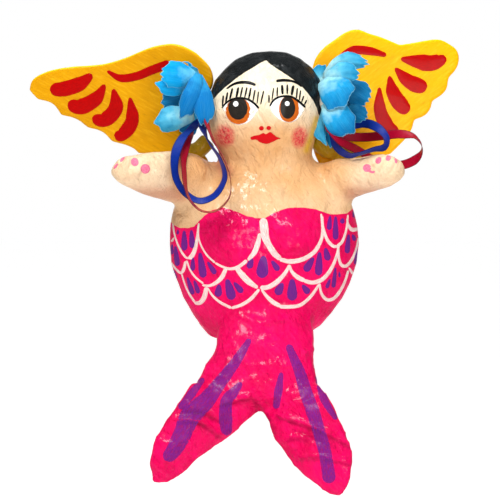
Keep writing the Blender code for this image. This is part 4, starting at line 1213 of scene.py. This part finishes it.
def make_silk(tone):
    """Dyed silk: pale at the foot and deeper towards the rim, with fine fibres along the petal."""
    foot, middle, rim = SILK[tone]
    material, tree, shader = new_material("silk_" + tone)
    uv, along, across = strip_coordinates(tree, "petal")
    cloud = noise_texture(tree, object_coordinates(tree), 110.0, 3.0)
    run = math(tree, "ADD", along, swing(tree, cloud, 1.0))
    colour = mix(tree, remap(tree, run, 0.12, 0.5), foot, middle)
    colour = mix(tree, remap(tree, run, 0.5, 1.0), colour, rim)
    drawn_out = node(tree, "Mapping", {"Vector": uv, "Scale": (1.0, 16.0, 1)}).outputs["Vector"]
    fibres = noise_texture(tree, drawn_out, 2.0, 4.0)
    colour = mix(tree, remap(tree, fibres, 0.45, 0.75, 0.0, 0.18), colour, (0.16, 0.62, 0.86))
    blot = remap(tree, noise_texture(tree, object_coordinates(tree), 260.0, 4.0, 0.6), 0.5, 0.7, 0.0, 0.35)
    colour = mix(tree, blot, colour, (0.01, 0.16, 0.36))
    border = math(tree, "MAXIMUM", across, along)
    colour = mix(tree, remap(tree, border, 0.965, 0.985, 0.0, 0.45), colour, (0.34, 0.78, 0.92))
    tree.links.new(colour, shader.inputs["Base Color"])
    set_inputs(shader, {"Roughness": 0.8, "Specular IOR Level": 0.08, "Sheen Weight": 0.02,
                        "Sheen Roughness": 0.4})
    bumped(tree, shader, fibres, 0.5, 0.5)
    bumped(tree, shader, noise_texture(tree, object_coordinates(tree), 2500.0, 2.0), 0.2, 0.2)
    return material


def make_flowers():
    """Three layers of petals to each flower, every petal laid one by one, in the space of its CAD layer."""
    tones = list(SILK)
    silks = [make_silk(tone) for tone in tones]
    for side, petals in PETALS.items():
        for wanted in ("outer", "middle", "inner"):
            rng = Random(f"{side} {wanted}")
            bm = bmesh.new()
            uv = bm.loops.layers.uv.new("petal")
            for layer, tone, *shape in petals:
                if layer == wanted:
                    add_petal(bm, uv, tones.index(tone), *shape, rng.uniform(0, 6))
            mesh = bpy.data.meshes.new(f"petals_{wanted}_{side}_silk")
            bm.to_mesh(mesh)
            bm.free()
            silk = make_object(mesh.name, mesh, None)
            for material in silks:
                mesh.materials.append(material)
            solid = silk.modifiers.new("cloth", "SOLIDIFY")
            solid.thickness = CLOTH_THICKNESS * MM
            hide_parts(f"petals_{wanted}_{side}")


# ---------------------------------------------------------------- ribbons

# the same routes as in the CAD source: points of the centre line and the way the width lies
RIBBONS = {
    "ribbon_blue_left": [
        ((-45, -5, 244), (1, 0, 0)), ((-49.5, -9, 237.5), (0.9, 0.3, 0.2)),
        ((-56, -24, 230), (0.8, 0.5, 0.3)), ((-60, -42, 218), (0.9, 0.45, 0.1)),
        ((-59.5, -46, 204), (0.8, 0.6, 0)), ((-53.5, -48, 193.5), (0.5, 0.7, 0.4)),
        ((-44, -48, 188), (0.1, 0.7, 0.7)), ((-34.5, -47, 191), (-0.3, 0.7, 0.6)),
        ((-28.5, -45.5, 199), (-0.6, 0.8, 0.3)), ((-27.3, -44, 206.5), (-0.5, 0.85, 0)),
        ((-31.2, -41, 217), (-0.3, 0.9, 0)), ((-39, -32.5, 228), (-0.2, 0.95, 0)),
        ((-42.7, -22.5, 237.5), (0.5, 0.85, 0)), ((-41.8, -17, 244), (0.9, -0.4, 0)),
    ],
    "ribbon_red_left": [
        ((-39.3, -22, 245), (0.6, 0.6, 0)), ((-39.3, -27.5, 238.5), (0.25, 0.95, 0)),
        ((-34.3, -35.5, 227), (0.05, 1, 0.1)), ((-28, -41.5, 216), (0.05, 1, 0.1)),
        ((-23.7, -44.5, 204), (0, 1, 0)), ((-24, -47, 191), (-0.1, 1, 0.1)),
        ((-32, -51, 182), (0, 1, 0.15)), ((-41.5, -54, 181.5), (0.1, 1, 0.1)),
        ((-49, -57.5, 188), (0.2, 0.95, 0)), ((-52.5, -55, 197), (0.3, 0.95, 0)),
        ((-54, -44, 207), (0.35, 0.93, 0)), ((-55, -32, 217.5), (0.6, 0.75, 0.1)),
        ((-53.5, -14.5, 228.5), (0.8, 0.55, 0.1)), ((-50.5, -1, 236.5), (0.5, 0.85, 0)),
        ((-45.5, 3, 243), (0.2, 1, 0)),
    ],
    "ribbon_blue_right": [
        ((45.5, -3, 240), (0.3, 0.5, 1)), ((52.5, 3, 239), (0, 0.3, 1)), ((61, 4.5, 239.5), (0, 0.2, 1)),
        ((70, 1, 240.5), (0, 0.25, 1)), ((77.5, -8, 237), (0.4, 0.4, 0.8)),
        ((82, -17, 230.5), (0.9, 0.5, 0.2)), ((80.5, -24, 224), (0.6, 0.7, -0.5)),
        ((72.5, -27.5, 222), (0.1, 0.8, -0.5)), ((63, -26, 219), (-0.1, 0.9, -0.4)),
        ((56, -21, 218.5), (-0.4, 0.9, -0.3)), ((49.5, -14, 223), (-0.5, 0.8, -0.2)),
        ((45.5, -10, 231), (-0.7, 0.7, 0)), ((44, -8, 238), (-0.9, 0.4, 0)),
    ],
    "ribbon_red_right": [
        ((41.5, -14.5, 241), (0.9, 0.4, 0)), ((43, -18.5, 235), (0.5, 0.8, 0)),
        ((48, -20.5, 229.5), (0.5, 0.6, 0.5)), ((54, -16.5, 226), (0.4, 0.6, 0.6)),
        ((60, -9.5, 223.5), (0.3, 0.6, 0.7)), ((66, -2.5, 221), (0.3, 0.5, 0.8)),
        ((75, 3, 215.5), (0, 0.3, 1)), ((85, 1, 211.5), (-0.1, 0, 1)), ((93.5, -6, 211.3), (-0.2, 0.1, 1)),
        ((101, -12, 214), (-0.4, 0.3, 0.8)), ((106, -16, 219), (0, 1, 0.4)),
        ((106.5, -17, 225), (0.2, 1, 0.3)), ((102, -15, 230.5), (0.3, 0.3, 0.9)),
        ((93, -9, 232.8), (0, 0.1, 1)), ((82, -1, 232), (0, 0.1, 1)), ((70, 7, 231), (0, 0.1, 1)),
        ((58, 9, 231.5), (0, 0.15, 1)), ((50, 6, 233), (0, 0.3, 1)), ((45, 1.5, 233.5), (0.3, 0.4, 1)),
    ],
}
RIBBON_WIDTH = 6.35
RIBBON_THICKNESS = 0.3
RIBBON_CUP = 0.12
RIBBON_COLUMNS = 9
# both ends are gathered into the glue: this share of the width, spread out again over this many millimetres
GATHER = 0.3
GATHER_LENGTH = 8.0


def make_satin(name, colour, light, dark):
    """Satin ribbon: fine threads across, a soft sheen, and a corded selvedge on both edges."""
    material, tree, shader = new_material(name)
    uv, along, across = strip_coordinates(tree, "ribbon")
    drawn_out = node(tree, "Mapping", {"Vector": uv, "Scale": (6.0, 0.5, 1)}).outputs["Vector"]
    threads = noise_texture(tree, drawn_out, 3.0, 3.0)
    cord = math(tree, "SINE", math(tree, "MULTIPLY", along, 12.0))
    base = mix(tree, remap(tree, threads, 0.35, 0.7), colour, light)
    base = mix(tree, remap(tree, across, 0.86, 0.93), base, dark)
    tree.links.new(base, shader.inputs["Base Color"])
    set_inputs(shader, {"Roughness": 0.38, "Specular IOR Level": 0.2, "Sheen Weight": 0.04,
                        "Sheen Roughness": 0.3, "Anisotropic": 0.5})
    bumped(tree, shader, threads, 0.2, 0.2)
    edge = math(tree, "MULTIPLY", cord, remap(tree, across, 0.84, 0.9))
    bumped(tree, shader, edge, 0.5, 0.2)
    return material


def make_ribbon(name, spots, satin):
    """A flat satin strip on its route, slightly cupped across."""
    route, length = smooth_line([point for point, _ in spots], 1.0)
    stations = np.linspace(0, 1, len(spots))
    turns = np.array([across for _, across in spots], float)
    bm = bmesh.new()
    layer = bm.loops.layers.uv.new("ribbon")
    rows = []
    along = np.gradient(route, axis=0)
    for i, (point, forward) in enumerate(zip(route, along)):
        forward = Vector(forward).normalized()
        wide = Vector([np.interp(i / (len(route) - 1), stations, turns[:, axis]) for axis in range(3)])
        wide = (wide - forward * wide.dot(forward)).normalized()
        out = forward.cross(wide)
        from_end = min(i, len(route) - 1 - i) * length / (len(route) - 1)
        half = RIBBON_WIDTH / 2 * np.interp(from_end, (0, GATHER_LENGTH), (GATHER, 1))
        row = []
        for j in range(RIBBON_COLUMNS):
            v = 2 * j / (RIBBON_COLUMNS - 1) - 1
            cup = RIBBON_CUP * (1 - v * v)
            row.append(bm.verts.new(place(*(Vector(point) + wide * v * half + out * cup))))
        rows.append(row)
    add_grid(bm, layer, rows, run=length)
    mesh = bpy.data.meshes.new(name + "_satin")
    bm.to_mesh(mesh)
    bm.free()
    ribbon = make_object(name + "_satin", mesh, satin)
    solid = ribbon.modifiers.new("satin", "SOLIDIFY")
    solid.thickness = RIBBON_THICKNESS * MM
    solid.offset = 0.0
    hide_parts(name)


def make_ribbons():
    blue = make_satin("satin_blue", (0.001, 0.012, 0.15), (0.002, 0.034, 0.36), (0.0, 0.004, 0.06))
    red = make_satin("satin_crimson", (0.26, 0.0, 0.012), (0.46, 0.0, 0.03), (0.10, 0.0, 0.005))
    for name, spots in RIBBONS.items():
        make_ribbon(name, spots, blue if "blue" in name else red)


# ---------------------------------------------------------------- small CAD parts that stay

def plain_material(name, colour, roughness, metallic=0.0, bump=0.3, scale=400.0):
    material, tree, shader = new_material(name)
    grain = noise_texture(tree, object_coordinates(tree), scale, 4.0, 0.6)
    tint = mix(tree, remap(tree, grain, 0.3, 0.7), tuple(c * 0.75 for c in colour), colour)
    tree.links.new(tint, shader.inputs["Base Color"])
    set_inputs(shader, {"Roughness": roughness, "Metallic": metallic})
    bumped(tree, shader, grain, bump, 0.3)
    return material


def dress_small_parts():
    """Small parts keep their CAD shape; the first word found in a node's name tells its material."""
    steel = plain_material("galvanised_wire", (0.55, 0.55, 0.56), 0.35, 1.0, 0.2, 700.0)
    materials = {
        "wire": steel,
        "hanging_eye": steel,
        "hanging_patch": plain_material("patch_skin_paint", (0.84, 0.56, 0.32), 0.35, bump=0.5, scale=150.0),
        "seam_strip": plain_material("bare_paper", (0.55, 0.50, 0.42), 0.9),
        "flower_glue": plain_material("hot_glue", (0.80, 0.74, 0.62), 0.35, bump=0.1, scale=150.0),
        "flower_": plain_material("moulded_green", (0.06, 0.22, 0.04), 0.55),
    }
    for name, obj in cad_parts.items():
        chosen = next((material for word, material in materials.items() if word in name), None)
        if chosen:
            obj.data.materials.clear()
            obj.data.materials.append(chosen)


# ---------------------------------------------------------------- light and surroundings

# lamps: place in the frame's metres, width and height, watts
LAMPS = {
    "key": ((-0.30, -0.75, 0.85), (0.75, 0.30), 11.5),
    "fill": ((0.45, -1.1, 0.15), (0.5, 0.6), 4.2),
    "top": ((0.05, -0.1, 0.95), (0.4, 0.4), 4.5),
}
FLOOR_SIZE = 8.0
FLOOR_DROP = 0.35


def make_area(name, location, size, power):
    data = bpy.data.lights.new(name, "AREA")
    data.shape = "RECTANGLE"
    data.size, data.size_y = size
    data.energy = power
    light = bpy.data.objects.new(name, data)
    light.location = location
    light.rotation_euler = (place(0, 0, 160) - Vector(location)).to_track_quat("-Z", "Y").to_euler()
    bpy.context.scene.collection.objects.link(light)


def make_surroundings():
    """A pale floor well below the hanging figure, white all round, and soft lamps on the camera's side."""
    bm = bmesh.new()
    bmesh.ops.create_grid(bm, x_segments=1, y_segments=1, size=FLOOR_SIZE)
    mesh = bpy.data.meshes.new("floor")
    bm.to_mesh(mesh)
    bm.free()
    material, _, shader = new_material("pale_floor")
    set_inputs(shader, {"Base Color": (0.9, 0.9, 0.9, 1), "Roughness": 0.9,
                        "Emission Color": (1, 1, 1, 1), "Emission Strength": 0.8})
    mesh.materials.append(material)
    floor = bpy.data.objects.new("floor", mesh)
    floor.location = (0, 0, CAD_BOX[0].z - FLOOR_DROP)
    floor.visible_glossy = False
    bpy.context.scene.collection.objects.link(floor)
    make_world()
    for name, (location, size, power) in LAMPS.items():
        make_area(name, location, size, power)


def make_world():
    """A white studio that reflects dimly from the camera's side, so that the varnish isn't veiled."""
    world = bpy.data.worlds.new("studio")
    world.use_nodes = True
    tree = world.node_tree
    direction = node(tree, "TexCoord").outputs["Generated"]
    ahead = node(tree, "SeparateXYZ", {"Vector": direction}).outputs["Y"]
    strength = remap(tree, ahead, 0.8, 0.95, 0.18, 1.0)
    seen = node(tree, "LightPath").outputs["Is Camera Ray"]
    strength = math(tree, "MAXIMUM", strength, seen)
    background = tree.nodes["Background"]
    background.inputs["Color"].default_value = (1, 1, 1, 1)
    tree.links.new(strength, background.inputs["Strength"])
    bpy.context.scene.world = world
    bpy.context.scene.view_settings.view_transform = "Standard"


make_camera()
make_surroundings()
make_ribbons()
SKIN = make_skin()
paint_face(SKIN)
paint_nails(SKIN)
paint_scales(SKIN)
paint_tail_stripes(SKIN)
for wing_side in ("left", "right"):
    make_wing(wing_side)
make_fillets()
make_flowers()
dress_small_parts()
